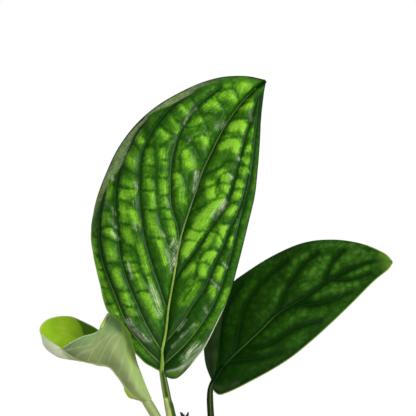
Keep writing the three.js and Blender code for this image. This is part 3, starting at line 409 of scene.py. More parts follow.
def curve_through(points, samples=16):
    """Centripetal Catmull-Rom curve through the points, with each sample's share of the length."""
    p = np.asarray(points, float)
    p = np.vstack([2 * p[0] - p[1], p, 2 * p[-1] - p[-2]])
    gap = np.linalg.norm(np.diff(p, axis=0), axis=1) ** 0.5
    w = np.linspace(0, 1, samples, endpoint=False)[:, None]
    stretches = []
    for k in range(1, len(p) - 2):
        before, here, after = gap[k - 1 : k + 2]
        a, b, c, d = p[k - 1 : k + 3]
        start = ((b - a) / before - (c - a) / (before + here) + (c - b) / here) * here
        end = ((c - b) / here - (d - b) / (here + after) + (d - c) / after) * here
        cubic = 2 * b - 2 * c + start + end
        square = -3 * b + 3 * c - 2 * start - end
        stretches.append(cubic * w**3 + square * w**2 + start * w + b)
    line = np.vstack([*stretches, p[-2]])
    length = np.concatenate([[0], np.cumsum(np.linalg.norm(np.diff(line, axis=0), axis=1))])
    return line, length / length[-1]


def along(curve, share):
    """Points of a curve at the given shares of its length."""
    line, lengths = curve
    return np.stack([np.interp(share, lengths, line[:, axis]) for axis in range(line.shape[1])], axis=-1)


def distance(points, curves, step=1.5):
    """Signed distance of each point to the nearest of the curves: positive on a curve's right."""
    nearest = np.full(len(points), 1e6)
    side = np.ones(len(points))
    for curve in curves:
        line = curve[0]
        total = np.linalg.norm(np.diff(line, axis=0), axis=1).sum()
        stops = along(curve, np.linspace(0, 1, max(2, int(total / step)) + 1))
        for start, end in zip(stops[:-1], stops[1:]):
            span = end - start
            t = clamp01((points - start) @ span / (span @ span))
            away = points - start - t[:, None] * span
            reach = np.hypot(away[:, 0], away[:, 1])
            closer = reach < nearest
            nearest = np.where(closer, reach, nearest)
            turn = away[:, 0] * span[1] - away[:, 1] * span[0]
            side = np.where(closer, np.where(turn < 0, -1.0, 1.0), side)
    return nearest * side


def slopes(point_at, s, f, step=0.004):
    """Unit normals of a surface by small steps, taken inwards at its edges."""
    side = np.where(s > 1 - step, -step, step)
    lift = np.where(f > 1 - step, -step, step)
    here = point_at(s, f)
    across = (point_at(s + side, f) - here) * np.sign(side)[:, None]
    upward = (point_at(s, f + lift) - here) * np.sign(lift)[:, None]
    normal = np.cross(across, upward)
    return normal / np.maximum(np.linalg.norm(normal, axis=1), 1e-12)[:, None]


def fullness(f):
    """How full a blade is along its length: little at either end."""
    return np.sin(np.pi * clamp01(f * 0.96 + 0.02)) ** 0.6


def large_depth(s, f):
    """The large blade leans back, arches in each half and rolls back along its margins."""
    lean = 34 * f * f - 22 * f
    arch = -4 * np.sin(np.pi * 0.85 * np.abs(s)) * fullness(f)
    left_roll = 2 + 7 * smoothstep(0.25, 0.5, f) * falloff(0.85, 1, f)
    right_roll = 1.5 + 6 * falloff(0.15, 0.4, f)
    crease = np.where(s < 0, 0.8, 0.76 + 0.16 * smoothstep(0.05, 0.35, f))
    roll = np.where(s < 0, left_roll, right_roll) * clamp01((np.abs(s) - crease) / (1 - crease)) ** 1.6
    return lean + arch + roll * smoothstep(0, 0.06, f) * falloff(0.95, 1, f)


def right_depth(s, f):
    """The right-hand blade is folded a little along its midrib, its upper lobe turned back."""
    lean = 24 * f - 20 * f * f
    upper = (-9 * s + 4 * np.sin(np.pi * s)) * fullness(f)
    lobe = 7 * s * s * falloff(0.1, 0.35, f) * smoothstep(0, 0.05, f)
    lower = (3 * s * s - 3.5 * np.sin(np.pi * 0.9 * s)) * fullness(f)
    return lean + np.where(s < 0, upper + lobe, lower)


def blade_sheet(drawing, s, f):
    """Points of a flat-drawn blade: s from margin to margin, f from the stalk to the tip."""
    f = clamp01(f)
    rib = along(drawing["midrib"], f ** drawing["fan"])
    left = along(drawing["left"], f)
    right = along(drawing["right"], f)
    margin = np.where((s < 0)[:, None], left, right)
    flat = rib + (margin - rib) * np.abs(s)[:, None]
    return np.column_stack([flat[:, 0], drawing["depth"](s, f), flat[:, 1]])


def catmull_weights(count, t):
    """Weights of equally spaced control values for a uniform Catmull-Rom curve."""
    t = clamp01(t) * (count - 1)
    k = np.minimum(count - 2, np.floor(t)).astype(int)
    w = t - k
    parts = [
        -0.5 * w + w * w - 0.5 * w**3,
        1 - 2.5 * w * w + 1.5 * w**3,
        0.5 * w + 2 * w * w - 1.5 * w**3,
        -0.5 * w * w + 0.5 * w**3,
    ]
    weights = np.zeros((len(t), count))
    for offset, part in zip((-1, 0, 1, 2), parts):
        np.add.at(weights, (np.arange(len(t)), np.clip(k + offset, 0, count - 1)), part)
    return weights


def young_sheet(v, u):
    """Points of the rolled young blade: v from the near to the far margin, u from base to tip."""
    lines = np.asarray(YOUNG_LINES, float)
    over = catmull_weights(lines.shape[0], u)
    across = catmull_weights(lines.shape[1], v)
    return np.einsum("na,nb,abc->nc", over, across, lines)


def mesh_of(bm, name):
    """A mesh made of a finished bmesh."""
    mesh = bpy.data.meshes.new(name)
    bm.to_mesh(mesh)
    bm.free()
    return mesh


def grid_mesh(name, columns, rows):
    """A grid of the given cells as a mesh, with the places of its vertices from 0 to 1 each way."""
    bm = bmesh.new()
    bmesh.ops.create_grid(bm, x_segments=columns, y_segments=rows, size=0.5)
    mesh = mesh_of(bm, name)
    co = np.zeros(len(mesh.vertices) * 3)
    mesh.vertices.foreach_get("co", co)
    places = clamp01(co.reshape(-1, 3)[:, :2] + 0.5)
    return mesh, places[:, 0], places[:, 1]


def shape_mesh(mesh, points):
    mesh.vertices.foreach_set("co", np.asarray(points, np.float64).ravel())
    mesh.update()


def note(mesh, name, values):
    """Keeps three numbers at each vertex for the material."""
    attribute = mesh.attributes.new(name, "FLOAT_VECTOR", "POINT")
    attribute.data.foreach_set("vector", np.column_stack(values).astype(np.float32).ravel())


def face_outwards(mesh, outward):
    """Turns the faces of an open sheet round where they look against the given directions."""
    faces = len(mesh.polygons)
    normals = np.zeros(faces * 3)
    mesh.polygons.foreach_get("normal", normals)
    first = np.zeros(faces, int)
    mesh.polygons.foreach_get("loop_start", first)
    corners = np.zeros(len(mesh.loops), int)
    mesh.loops.foreach_get("vertex_index", corners)
    if (normals.reshape(-1, 3) * outward[corners[first]]).sum() < 0:
        bm = bmesh.new()
        bm.from_mesh(mesh)
        bmesh.ops.reverse_faces(bm, faces=bm.faces[:])
        bm.to_mesh(mesh)
        bm.free()


def finish_piece(name, mesh, materials, node=None):
    """Links a finished mesh as a piece of the object that may stand for a solid of the frame."""
    for face in mesh.polygons:
        face.use_smooth = True
    for material in materials:
        mesh.materials.append(material)
    piece = bpy.data.objects.new(name, mesh)
    bpy.context.scene.collection.objects.link(piece)
    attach(piece, BODY)
    if node:
        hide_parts(node)
    return piece


def thicken(piece, thinnest, thickest, weights):
    """Gives an open sheet its thickness on the side away from its faces, more where weights say."""
    group = piece.vertex_groups.new(name="rib")
    for index, weight in enumerate(weights):
        if weight > LEAST_WEIGHT:
            group.add([index], float(weight), "REPLACE")
    shell = piece.modifiers.new("Thickness", "SOLIDIFY")
    shell.thickness = thickest * MM
    shell.offset = -1
    shell.vertex_group = "rib"
    shell.thickness_vertex_group = thinnest / thickest
    shell.material_offset = 1
    shell.material_offset_rim = 0


class Wire:
    """An output of a node, with the arithmetic of its tree."""

    def __init__(self, socket):
        self.socket = socket
        self.tree = socket.id_data

    def maths(self, operation, *others):
        return feed(self.tree, "ShaderNodeMath", 0, dict(enumerate((self, *others))), operation=operation)

    def __add__(self, other):
        return self.maths("ADD", other)

    def __sub__(self, other):
        return self.maths("SUBTRACT", other)

    def __mul__(self, other):
        return self.maths("MULTIPLY", other)

    def __abs__(self):
        return self.maths("ABSOLUTE")

    def at_least(self, other):
        return self.maths("MAXIMUM", other)

    def spread(self, low, high, to_low=0.0, to_high=1.0):
        """Smooth change of the value from one range to another."""
        inputs = {"Value": self, "From Min": low, "From Max": high, "To Min": to_low, "To Max": to_high}
        return feed(self.tree, "ShaderNodeMapRange", "Result", inputs, interpolation_type="SMOOTHSTEP")

    def fall(self, low, high, start=1.0):
        """Smooth fall from a start to nothing."""
        return self.spread(low, high, start, 0.0)


def new_material(name):
    """An empty material and its tree."""
    material = bpy.data.materials.new(name)
    material.use_nodes = True
    material.node_tree.nodes.clear()
    return material, material.node_tree


def add_node(tree, kind, inputs=None, **settings):
    """A node with its settings, its inputs wired or set."""
    made = tree.nodes.new(kind)
    for key, value in settings.items():
        setattr(made, key, value)
    for key, value in (inputs or {}).items():
        if isinstance(value, Wire):
            tree.links.new(value.socket, made.inputs[key])
        else:
            made.inputs[key].default_value = value
    return made


def feed(tree, kind, output, inputs=None, **settings):
    """The named or numbered output of a new node."""
    return Wire(add_node(tree, kind, inputs, **settings).outputs[output])


def opaque(colour):
    return colour if isinstance(colour, Wire) else (*colour[:3], 1.0)


def paint(share, under, over):
    """A colour with another laid over a share of it."""
    inputs = {0: share, 6: opaque(under), 7: opaque(over)}
    return feed(share.tree, "ShaderNodeMix", 2, inputs, data_type="RGBA")


def coats(colour, layers):
    """A colour with others laid over it in turn, each over its own share."""
    for share, over in layers:
        colour = paint(share, colour, over)
    return colour


def tint(colour, grain, dark, light):
    """A colour made darker and lighter by a grain."""
    inputs = {0: 1.0, 6: colour, 7: grain.spread(0.3, 0.7, dark, light)}
    return feed(colour.tree, "ShaderNodeMix", 2, inputs, data_type="RGBA", blend_type="MULTIPLY")


def ramp(value, *stops):
    """The colours that a value from 0 to 1 runs through."""
    made = add_node(value.tree, "ShaderNodeValToRGB", {"Fac": value})
    elements = made.color_ramp.elements
    while len(elements) < len(stops):
        elements.new(0.5)
    for element, (place, colour) in zip(elements, stops):
        element.position = place
        element.color = opaque(colour)
    return Wire(made.outputs["Color"])


def parts_of(tree, name):
    """The three numbers kept at the vertices under a name."""
    kept = feed(tree, "ShaderNodeAttribute", "Vector", attribute_name=name)
    split = add_node(tree, "ShaderNodeSeparateXYZ", {"Vector": kept})
    return [Wire(split.outputs[axis]) for axis in "XYZ"]


def object_place(tree):
    return feed(tree, "ShaderNodeTexCoord", "Object")


def stretched_place(tree, scale):
    return feed(tree, "ShaderNodeMapping", 0, {"Vector": object_place(tree), "Scale": scale})


def place_from(right, up):
    """A place for a pattern, from two values of the piece's own."""
    return feed(right.tree, "ShaderNodeCombineXYZ", 0, {"X": right, "Y": up})


def noise_at(place, per_metre, detail=3.0, roughness=0.5, distortion=0.0):
    inputs = {
        "Vector": place,
        "Scale": per_metre,
        "Detail": detail,
        "Roughness": roughness,
        "Distortion": distortion,
    }
    return feed(place.tree, "ShaderNodeTexNoise", "Fac", inputs)


def object_noise(tree, size, *character):
    """Noise with features of about the given size in millimetres."""
    return noise_at(object_place(tree), 1 / (size * MM), *character)


def cell_edges(tree, per_metre):
    """Distance to the edges of small irregular cells."""
    inputs = {"Vector": object_place(tree), "Scale": per_metre}
    return feed(tree, "ShaderNodeTexVoronoi", "Distance", inputs, feature="DISTANCE_TO_EDGE")


def skin_group():
    """Fine grain of a plant's skin: a height for the bump and a light and dark variation."""
    name = "Plant skin"
    if name in bpy.data.node_groups:
        return bpy.data.node_groups[name]
    group = bpy.data.node_groups.new(name, "ShaderNodeTree")
    for label, default in (("Pore Size", 0.35), ("Blotch Size", 6.0)):
        socket = group.interface.new_socket(label, in_out="INPUT", socket_type="NodeSocketFloat")
        socket.default_value = default
    for label in ("Height", "Variation"):
        group.interface.new_socket(label, in_out="OUTPUT", socket_type="NodeSocketFloat")
    sizes = group.nodes.new("NodeGroupInput").outputs
    place = object_place(group)
    pores, blotches = (
        feed(group, "ShaderNodeMath", 0, {0: 1 / MM, 1: Wire(sizes[label])}, operation="DIVIDE")
        for label in ("Pore Size", "Blotch Size")
    )
    cells = feed(group, "ShaderNodeTexVoronoi", "Distance", {"Vector": place, "Scale": pores}, feature="F1")
    height = cells * 0.5 + noise_at(place, pores, 2.0)
    add_node(group, "NodeGroupOutput", {"Height": height, "Variation": noise_at(place, blotches, 4.0)})
    return group


def plant_skin(tree, pore_size, blotch_size):
    """The height and the variation of a plant's skin, with its sizes in millimetres."""
    inputs = {"Pore Size": pore_size, "Blotch Size": blotch_size}
    made = add_node(tree, "ShaderNodeGroup", inputs, node_tree=skin_group())
    return Wire(made.outputs["Height"]), Wire(made.outputs["Variation"])


def surface(material, colour, roughness, height=None, height_mm=0.1, specular=0.5):
    """Principled surface with its bump, in the material's own tree."""
    tree = material.node_tree
    inputs = {"Base Color": colour, "Roughness": roughness, "Specular IOR Level": specular}
    if height is not None:
        relief = {"Height": height, "Strength": 1.0, "Distance": height_mm * MM}
        inputs["Normal"] = feed(tree, "ShaderNodeBump", "Normal", relief)
    shader = feed(tree, "ShaderNodeBsdfPrincipled", "BSDF", inputs)
    add_node(tree, "ShaderNodeOutputMaterial", {"Surface": shader})
    return material


def quilted_leaf_material(settings):
    """Upper side of the large leaf: bright raised cells between dark sunken veins, partly painted light and
    shade, with painted highlights and a painted reflection along the left margin.
    """
    material, tree = new_material("quilted_leaf_upper")
    midrib, lateral, lateral_near = parts_of(tree, "veins")
    primary, net, margin = parts_of(tree, "cells")
    crest, f, streak = parts_of(tree, "place")
    band, rim_highlight, leafy_rim = parts_of(tree, "rims")
    # All three are painted light: the lobe's turned-back strip, the highlight on its ridge, and painted shade
    # towards the stalk.
    lobe, ridge, daylight = parts_of(tree, "lobe")
    pores, blotches = plant_skin(tree, 0.5, 7.0)
    feather = object_noise(tree, 2.4, 5, 0.65, 0.4) - 0.5
    fine = object_noise(tree, 0.7, 3, 0.6)
    hatch = noise_at(place_from(lateral * 1.8, f * 16.0), 1.0)
    veinlets = cell_edges(tree, 520.0)

    # The cells' own green, partly painted light: lit crowns along the crests, painted shade in the sunken
    # veins and towards the stalk.
    cell = (primary + feather * 3.0).spread(-0.1, 2.2) * (net + feather * 2.6).spread(-0.3, 1.5, 0.48, 1.0)
    cell = cell * veinlets.spread(0.0, 0.2, 0.84, 1.0) * blotches.spread(0.3, 0.7, 0.75, 1.1)
    cell = cell * (crest + feather * 0.7).spread(-0.1, 0.92, 0.4, 1.2)
    cell = cell * daylight * hatch.spread(0.3, 0.7, 0.8, 1.1)
    colour = ramp(
        cell,
        (0.0, settings.vein_band),
        (0.3, settings.cell_edge),
        (0.62, settings.cell),
        (1.0, settings.cell_crown),
    )

    close = lateral_near.fall(0.7, 1.1)
    line = lateral_near.fall(0.12, 0.62) * close
    # Painted highlight: a thin pale line beside each side vein, on one of its slopes.
    thread = abs(lateral + 0.42).fall(0.05, 0.34) * close
    thread_colour = paint(f.fall(0.1, 0.42), settings.vein_thread, settings.midrib)
    speckle = (fine + feather * 1.2).spread(0.3, 0.66, 0.5, 1.0)
    clouds = object_noise(tree, 3.6, 2, 0.5, 0.6).spread(0.38, 0.6, 0.3, 1.0)
    patches = hatch.spread(0.36, 0.6, 0.08, 1.0) * clouds
    rim_core = band.spread(0.0, 1.0, 0.3, 0.6)
    rim_reach = (rim_highlight + band * 0.5).spread(0.0, 1.0, 0.85, 1.6)
    rim_colour = paint(leafy_rim, settings.margin, settings.margin_leafy)
    colour = coats(colour, [
        (line * 0.8, settings.vein_line),
        # Painted highlight beside the side veins.
        (thread * f.spread(0.0, 0.6, 0.45, 0.2), thread_colour),
        (abs(midrib).fall(1.0, 3.4, 0.85), settings.vein_line),
        # Painted reflection: a pale strip along the turned-back left margin.
        (band * (fine + feather).spread(0.3, 0.7, 0.35, 1.0), settings.painted_reflection),
        # Painted highlights: broken pale streaks on the slopes of the cells.
        (streak.spread(0.05, 1.0) * speckle * patches * 0.9, settings.painted_sheen),
        # Painted light on the lobe's turned-back strip, then a painted highlight along its ridge.
        (lobe * 0.75, settings.lobe),
        (ridge * 0.5, settings.painted_sheen),
        # The margin's own dark line, yellow-green in places, with a painted highlight along part of the right
        # margin.
        (margin.fall(rim_core, rim_reach), paint(rim_highlight, rim_colour, settings.margin_highlight)),
    ])
    rough = blotches.spread(0.2, 0.8, 0.24, 0.34).at_least(margin.spread(0.6, 3.5, 0.8, 0.24))
    return surface(material, colour, rough, pores * 0.1 + feather * 0.5, 0.12, specular=0.2)


def quilted_underside_material(settings):
    """Underside of the large leaf: paler, its veins and midrib lighter still."""
    material, tree = new_material("quilted_leaf_underside")
    midrib, _, _ = parts_of(tree, "veins")
    primary, net, _ = parts_of(tree, "cells")
    pores, blotches = plant_skin(tree, 0.6, 7.0)
    cell = primary.spread(0.1, 1.6) * net.spread(0.0, 1.2, 0.6, 1.0)
    colour = tint(paint(cell, settings.underside_vein, settings.underside), blotches, 0.85, 1.1)
    colour = paint(abs(midrib).fall(0.9, 1.6), colour, settings.midrib)
    return surface(material, colour, 0.6, pores, specular=0.1)


def dark_leaf_material(settings):
    """Upper side of the older leaf: dark, faintly mottled between dark veins."""
    material, tree = new_material("dark_leaf_upper")
    midrib, lateral, lateral_near = parts_of(tree, "veins")
    near, margin, lightness = parts_of(tree, "cells")
    crest, f, facet = parts_of(tree, "place")
    pores, blotches = plant_skin(tree, 0.45, 9.0)
    feather = object_noise(tree, 3.0, 5, 0.6, 0.4) - 0.5
    spots = (cell_edges(tree, 230.0) + feather * 0.6).spread(-0.05, 0.4, 0.55, 0.93)
    mottle = spots * (crest + feather * 0.9).spread(-0.1, 0.95, 0.36, 1.0)
    mottle = mottle * lightness * near.spread(0.2, 3.0, 0.3, 1.0)
    colour = ramp(
        mottle,
        (0.0, settings.dark_leaf),
        (0.5, settings.dark_leaf_cell),
        (1.0, settings.dark_leaf_crown),
    )
    thread = abs(lateral + 0.3).fall(0.05, 0.3, 0.14) * lateral_near.fall(0.6, 0.9)
    lower = midrib.spread(-1.0, 1.0).at_least(f.spread(0.85, 0.95))
    colour = coats(colour, [
        ((near + feather * 1.2).fall(0.1, 1.3, 0.75), settings.dark_leaf_groove),
        (thread, settings.dark_leaf_midrib),
        (facet * blotches.spread(0.35, 0.65, 0.35, 0.9), settings.dark_leaf_facet),
        (f.spread(0.92, 0.995, 0.0, 0.75), settings.dark_leaf_tip),
        (margin.fall(0.2, 0.75) * lower, settings.dark_leaf_edge),
    ])
    rough = blotches.spread(0.2, 0.8, 0.32, 0.42).at_least(margin.spread(0.8, 5.0, 0.8, 0.32))
    return surface(material, colour, rough, pores * 0.1 + spots * 0.5, 0.12, specular=0.05)


def dark_underside_material(settings):
    """Underside of the older leaf: a duller green with pale veins."""
    material, tree = new_material("dark_leaf_underside")
    midrib, _, _ = parts_of(tree, "veins")
    near, _, _ = parts_of(tree, "cells")
    pores, blotches = plant_skin(tree, 0.6, 7.0)
    colour = paint(near.spread(0.2, 2.5), settings.underside_vein, settings.underside)
    colour = tint(colour, blotches, 0.7, 0.95)
    colour = paint(abs(midrib).fall(1.0, 2.2, 0.8), colour, settings.midrib)
    return surface(material, colour, 0.6, pores, specular=0.1)


def young_outer_material(settings):
    """Outside of the rolled young leaf, its pale underside with faint raised veins."""
    material, tree = new_material("young_leaf_outside")
    midrib, rib, warm = parts_of(tree, "veins")
    margin, cup, base = parts_of(tree, "cells")
    shoulder, corner, _ = parts_of(tree, "tones")
    flap, _, _ = parts_of(tree, "cup")
    pores, blotches = plant_skin(tree, 0.45, 8.0)
    colour = paint(shoulder, settings.young_outside, settings.young_shoulder)
    colour = coats(colour, [
        (warm, settings.young_warm),
        (corner * 0.8, settings.young_corner),
        (base, settings.young_base),
        (rib * 0.3, settings.young_vein),
        # The cup's whitish outside, and a painted highlight on the near margin's top edge.
        (cup, settings.young_cup),
    ])
    colour = coats(tint(colour, blotches, 0.88, 1.08), [
        (abs(midrib).fall(0.7, 1.7) * 0.8, settings.young_midrib),
        (flap, settings.young_inside),
        (margin.fall(0.2, 0.7), settings.young_rim),
    ])
    return surface(material, colour, 0.6, pores * 0.3 + rib, specular=0.12)


def young_inner_material(settings):
    """Inside of the rolled young leaf: bright, with fine lines, and in the shade at one side."""
    material, tree = new_material("young_leaf_inside")
    _, rib, _ = parts_of(tree, "veins")
    margin, _, _ = parts_of(tree, "cells")
    _, _, shadow = parts_of(tree, "tones")
    _, cup_lines, dusk = parts_of(tree, "cup")
    pores, blotches = plant_skin(tree, 0.5, 9.0)
    colour = paint(blotches.spread(0.3, 0.7), settings.young_inside_deep, settings.young_inside)
    colour = coats(colour, [
        (rib * 0.3, settings.young_inside_deep),
        # Painted shade towards the far end of the inside.
        (dusk * 0.35, settings.young_inside_dusk),
        (cup_lines * 0.5, settings.young_cup_line),
        (shadow * 0.85, settings.young_inside_shade),
        (margin.fall(0.2, 0.8), settings.young_rim),
    ])
    return surface(material, colour, 0.5, pores, 0.08, specular=0.2)


def stalk_material(name, body, ridges, lines, roughness=0.4, crown=None):
    """Skin of a stalk: fine lines along it, ridges of another colour, and its top where it has one."""
    material, tree = new_material(name)
    turn, share, ridge = parts_of(tree, "stalk")
    pores, blotches = plant_skin(tree, 0.4, 5.0)
    streaks = noise_at(place_from(turn * 9.0, share * 3.0), 3.0)
    colour = paint(streaks.spread(0.35, 0.65), body, lines)
    colour = paint(ridge, colour, ridges)
    if crown:
        colour = paint(share.spread(0.97, 1.01), colour, crown)
    colour = tint(colour, blotches, 0.85, 1.1)
    return surface(material, colour, roughness, pores * 0.3 + streaks, 0.12, specular=0.14)


def dry_sheath_material(settings):
    """Brown fibres along the withered sheath."""
    material, tree = new_material("dry_sheath_fibres")
    fibres = noise_at(stretched_place(tree, (1.0, 1.0, 0.12)), 1500.0, 4.0)
    colour = ramp(fibres, (0.3, settings.dry_dark), (0.55, settings.dry_brown), (0.75, settings.dry_pale))
    return surface(material, colour, 0.75, fibres, 0.3, specular=0.2)


def clay_material(settings):
    """Fired clay with turning lines, fine grit and pale lime blooms, most of them low down."""
    material, tree = new_material("fired_clay")
    up = feed(tree, "ShaderNodeSeparateXYZ", "Z", {"Vector": object_place(tree)})
    grit = object_noise(tree, 0.7)
    colour = ramp(
        object_noise(tree, 22, 4, 0.55, 0.4),
        (0.25, settings.clay_deep),
        (0.5, settings.clay),
        (0.75, settings.clay_pale),
    )
    bloom = object_noise(tree, 13, 6, 0.65, 1.2).spread(0.56, 0.74) * up.spread(0.01, 0.07, 1.0, 0.25)
    colour = tint(paint(bloom * 0.6, colour, settings.lime), grit, 0.88, 1.08)
    rings = noise_at(stretched_place(tree, (0.02, 0.02, 1.0)), 700.0)
    return surface(material, colour, 0.88, rings * 0.6 + grit * 0.4, 0.45, specular=0.25)


def compost_material(settings):
    """Potting soil in fine dark crumbs, in lighter and darker patches."""
    material, tree = new_material("compost")
    fine = object_noise(tree, 1.6, 6, 0.7)
    colour = ramp(fine, (0.3, settings.compost_dark), (0.55, settings.compost), (0.78, settings.compost_pale))
    colour = tint(colour, object_noise(tree, 11), 0.7, 1.15)
    return surface(material, colour, 0.95, fine, 1.2, specular=0.15)


def perlite_material(settings):
    """White grains with grey pits."""
    material, tree = new_material("perlite_grain")
    pits = object_noise(tree, 0.6, 4)
    colour = paint(pits.spread(0.35, 0.65), settings.perlite_shade, settings.perlite)
    return surface(material, colour, 0.9, pits, 0.4, specular=0.2)


def drawn(line):
    """The curve of a drawn line, which is straight between two points."""
    if len(line) > 2:
        return curve_through(line)
    return np.asarray(line, float), np.array([0.0, 1.0])


def veins_of(points, lines, step=1.5):
    """Signed distance of each point to the nearest of some drawn lines."""
    return distance(points, [drawn(line) for line in lines], step)


def strokes(points, groups):
    """How strongly hand-drawn strokes show at each point."""
    return np.maximum.reduce([level * bump(veins_of(points, lines), width) for level, width, lines in groups])


def inner_share(f):
    """Nothing at both ends of a blade, where its rows are too short to have a slope."""
    return smoothstep(0.04, 0.2, f) * falloff(0.93, 0.99, f)


def raise_blade(drawing, s, f, height):
    """Places of the viewer's face of a blade raised by a height in millimetres."""
    sheet = blade_sheet(drawing, s, f)
    normal = slopes(lambda a, b: blade_sheet(drawing, a, b), s, f)
    keep = inner_share(f)[:, None]
    outward = TO_VIEWER * (1 - keep) + normal * keep
    outward /= np.linalg.norm(outward, axis=1)[:, None]
    return (sheet + outward * height[:, None] + np.asarray(drawing["joint"])) * MM, outward


def flat_blade(name, columns, rows, joint, midrib, margins, depth, fan):
    """The grid of a flat-drawn blade, its drawing, and where each vertex lies in it."""
    mesh, across, f = grid_mesh(name, columns, rows)
    half = 2 * across - 1
    s = np.sign(half) * np.abs(half) ** MIDRIB_CROWDING
    left, right = (curve_through(margin) for margin in margins)
    drawing = {
        "joint": joint,
        "midrib": curve_through(midrib),
        "left": left,
        "right": right,
        "depth": depth,
        "fan": fan,
    }
    return mesh, drawing, s, f, blade_sheet(drawing, s, f)[:, [0, 2]]


def make_midrib(name, drawing, radii, showing, fading, material):
    """The rib of a blade, half sunk in its face and standing out behind, pale where it is thick."""
    thick, thin = radii

    def radius_along(f):
        return thin + (thick - thin) * (1 - f) ** 1.6

    def pale(turn, t):
        return smoothstep(*showing, t) * falloff(*fading, t)

    f = np.linspace(0, MIDRIB_SHARE, 16)
    sheet = blade_sheet(drawing, np.zeros_like(f), f ** (1 / drawing["fan"])) + np.asarray(drawing["joint"])
    sheet[:, 1] += 0.55 * radius_along(f)
    path = [tuple(point) for point in sheet]
    tube(name, path, [], 160, 16, lambda turn, t: radius_along(MIDRIB_SHARE * t), pale, material, None)


def make_large_blade(settings):
    """The mature blade: quilted, its cells raised between sunken veins."""
    mesh, drawing, s, f, flat = flat_blade(
        "large_leaf_blade", settings.large_columns, settings.large_rows, LARGE_JOINT, LARGE_MIDRIB,
        (LARGE_LEFT_MARGIN, LARGE_RIGHT_MARGIN), large_depth, LARGE_FAN,
    )
    on_left, on_right = s < 0, s > 0
    up = flat[:, 1]
    midrib = distance(flat, [drawing["midrib"]])
    lateral = veins_of(flat, LARGE_LATERALS)
    net = np.abs(veins_of(flat, LARGE_MINOR_VEINS + LARGE_CROSS_VEINS, 2.0))
    edge = np.abs(distance(flat, [drawing["left"], drawing["right"]]))
    primary = np.minimum.reduce([np.abs(midrib), np.abs(lateral), edge + 1.2])
    rib_width = 0.2 + 0.95 * (1 - f) ** 2.5
    # Painted light on the cells' crowns, dimmer on the left half; the crests also raise the cells a little.
    crest = strokes(flat, LARGE_CRESTS) * (0.72 + 0.28 * smoothstep(-0.15, 0.15, s))
    pillows = LARGE_RELIEF * (1 - bump(primary, LARGE_REACH)) * (1 - LARGE_CREASE * bump(net, 1.8))
    points, outward = raise_blade(drawing, s, f, pillows + 0.4 * crest * smoothstep(0.5, 3, primary))
    shape_mesh(mesh, points)
    face_outwards(mesh, outward)

    # Painted reflection: the band along the left margin, where it turns back, is painted pale as if it
    # mirrored the bright surroundings.
    band_width = 2.2 + 1.5 * smoothstep(124, 132, up) + 3.6 * bump(up - 104, 12)
    turned = smoothstep(0.36, 0.5, f) * falloff(0.82, 0.9, f) * on_left
    band = turned * falloff(band_width - 0.7, band_width, edge)
    # Painted highlight: part of the right margin is painted almost white, as if its edge caught the light.
    rim_highlight = smoothstep(0.09, 0.13, f) * falloff(0.27, 0.33, f) * on_right
    leafy_rim = np.where(on_left, falloff(0.35, 0.55, f), 0.3 * falloff(0.05, 0.1, f))
    # Painted light: the lobe's turned-back strip, and a painted highlight along its ridge.
    outside = veins_of(flat, [LARGE_LOBE_RIDGE])
    lobe = smoothstep(0.1, 1.0, outside) * smoothstep(0.6, 1.1, edge)
    lobe = lobe * falloff(0.2, 0.32, f) * on_right
    ridge = bump(outside, 0.6) * smoothstep(0, 0.03, f) * falloff(0.14, 0.24, f) * on_right
    # Painted shade: the cells are darker towards the stalk, most on the right-hand half.
    left_light = 0.62 + 0.38 * smoothstep(0.03, 0.25, f)
    right_light = 0.34 + 0.66 * smoothstep(0.05, 0.5, f)
    daylight = left_light + (right_light - left_light) * smoothstep(-0.1, 0.1, s)
    note(mesh, "veins", [midrib / rib_width, lateral, np.abs(lateral)])
    note(mesh, "cells", [primary, net, edge])
    note(mesh, "place", [crest, f, strokes(flat, LARGE_PAINTED_SHEEN)])
    note(mesh, "rims", [band, rim_highlight, leafy_rim])
    note(mesh, "lobe", [lobe, ridge, daylight])
    faces = [quilted_leaf_material(settings), quilted_underside_material(settings)]
    piece = finish_piece("large_leaf_blade", mesh, faces, "large_blade")
    thicken(piece, BLADE_SKIN, 1.4, (1 - 0.75 * f) * bump(midrib, 2.2))
    skin = stalk_material("large_midrib_skin", settings.midrib_far, settings.midrib, settings.vein_thread)
    make_midrib("large_leaf_midrib", drawing, (1.15, 0.35), (-0.2, -0.1), (0.3, 0.62), skin)


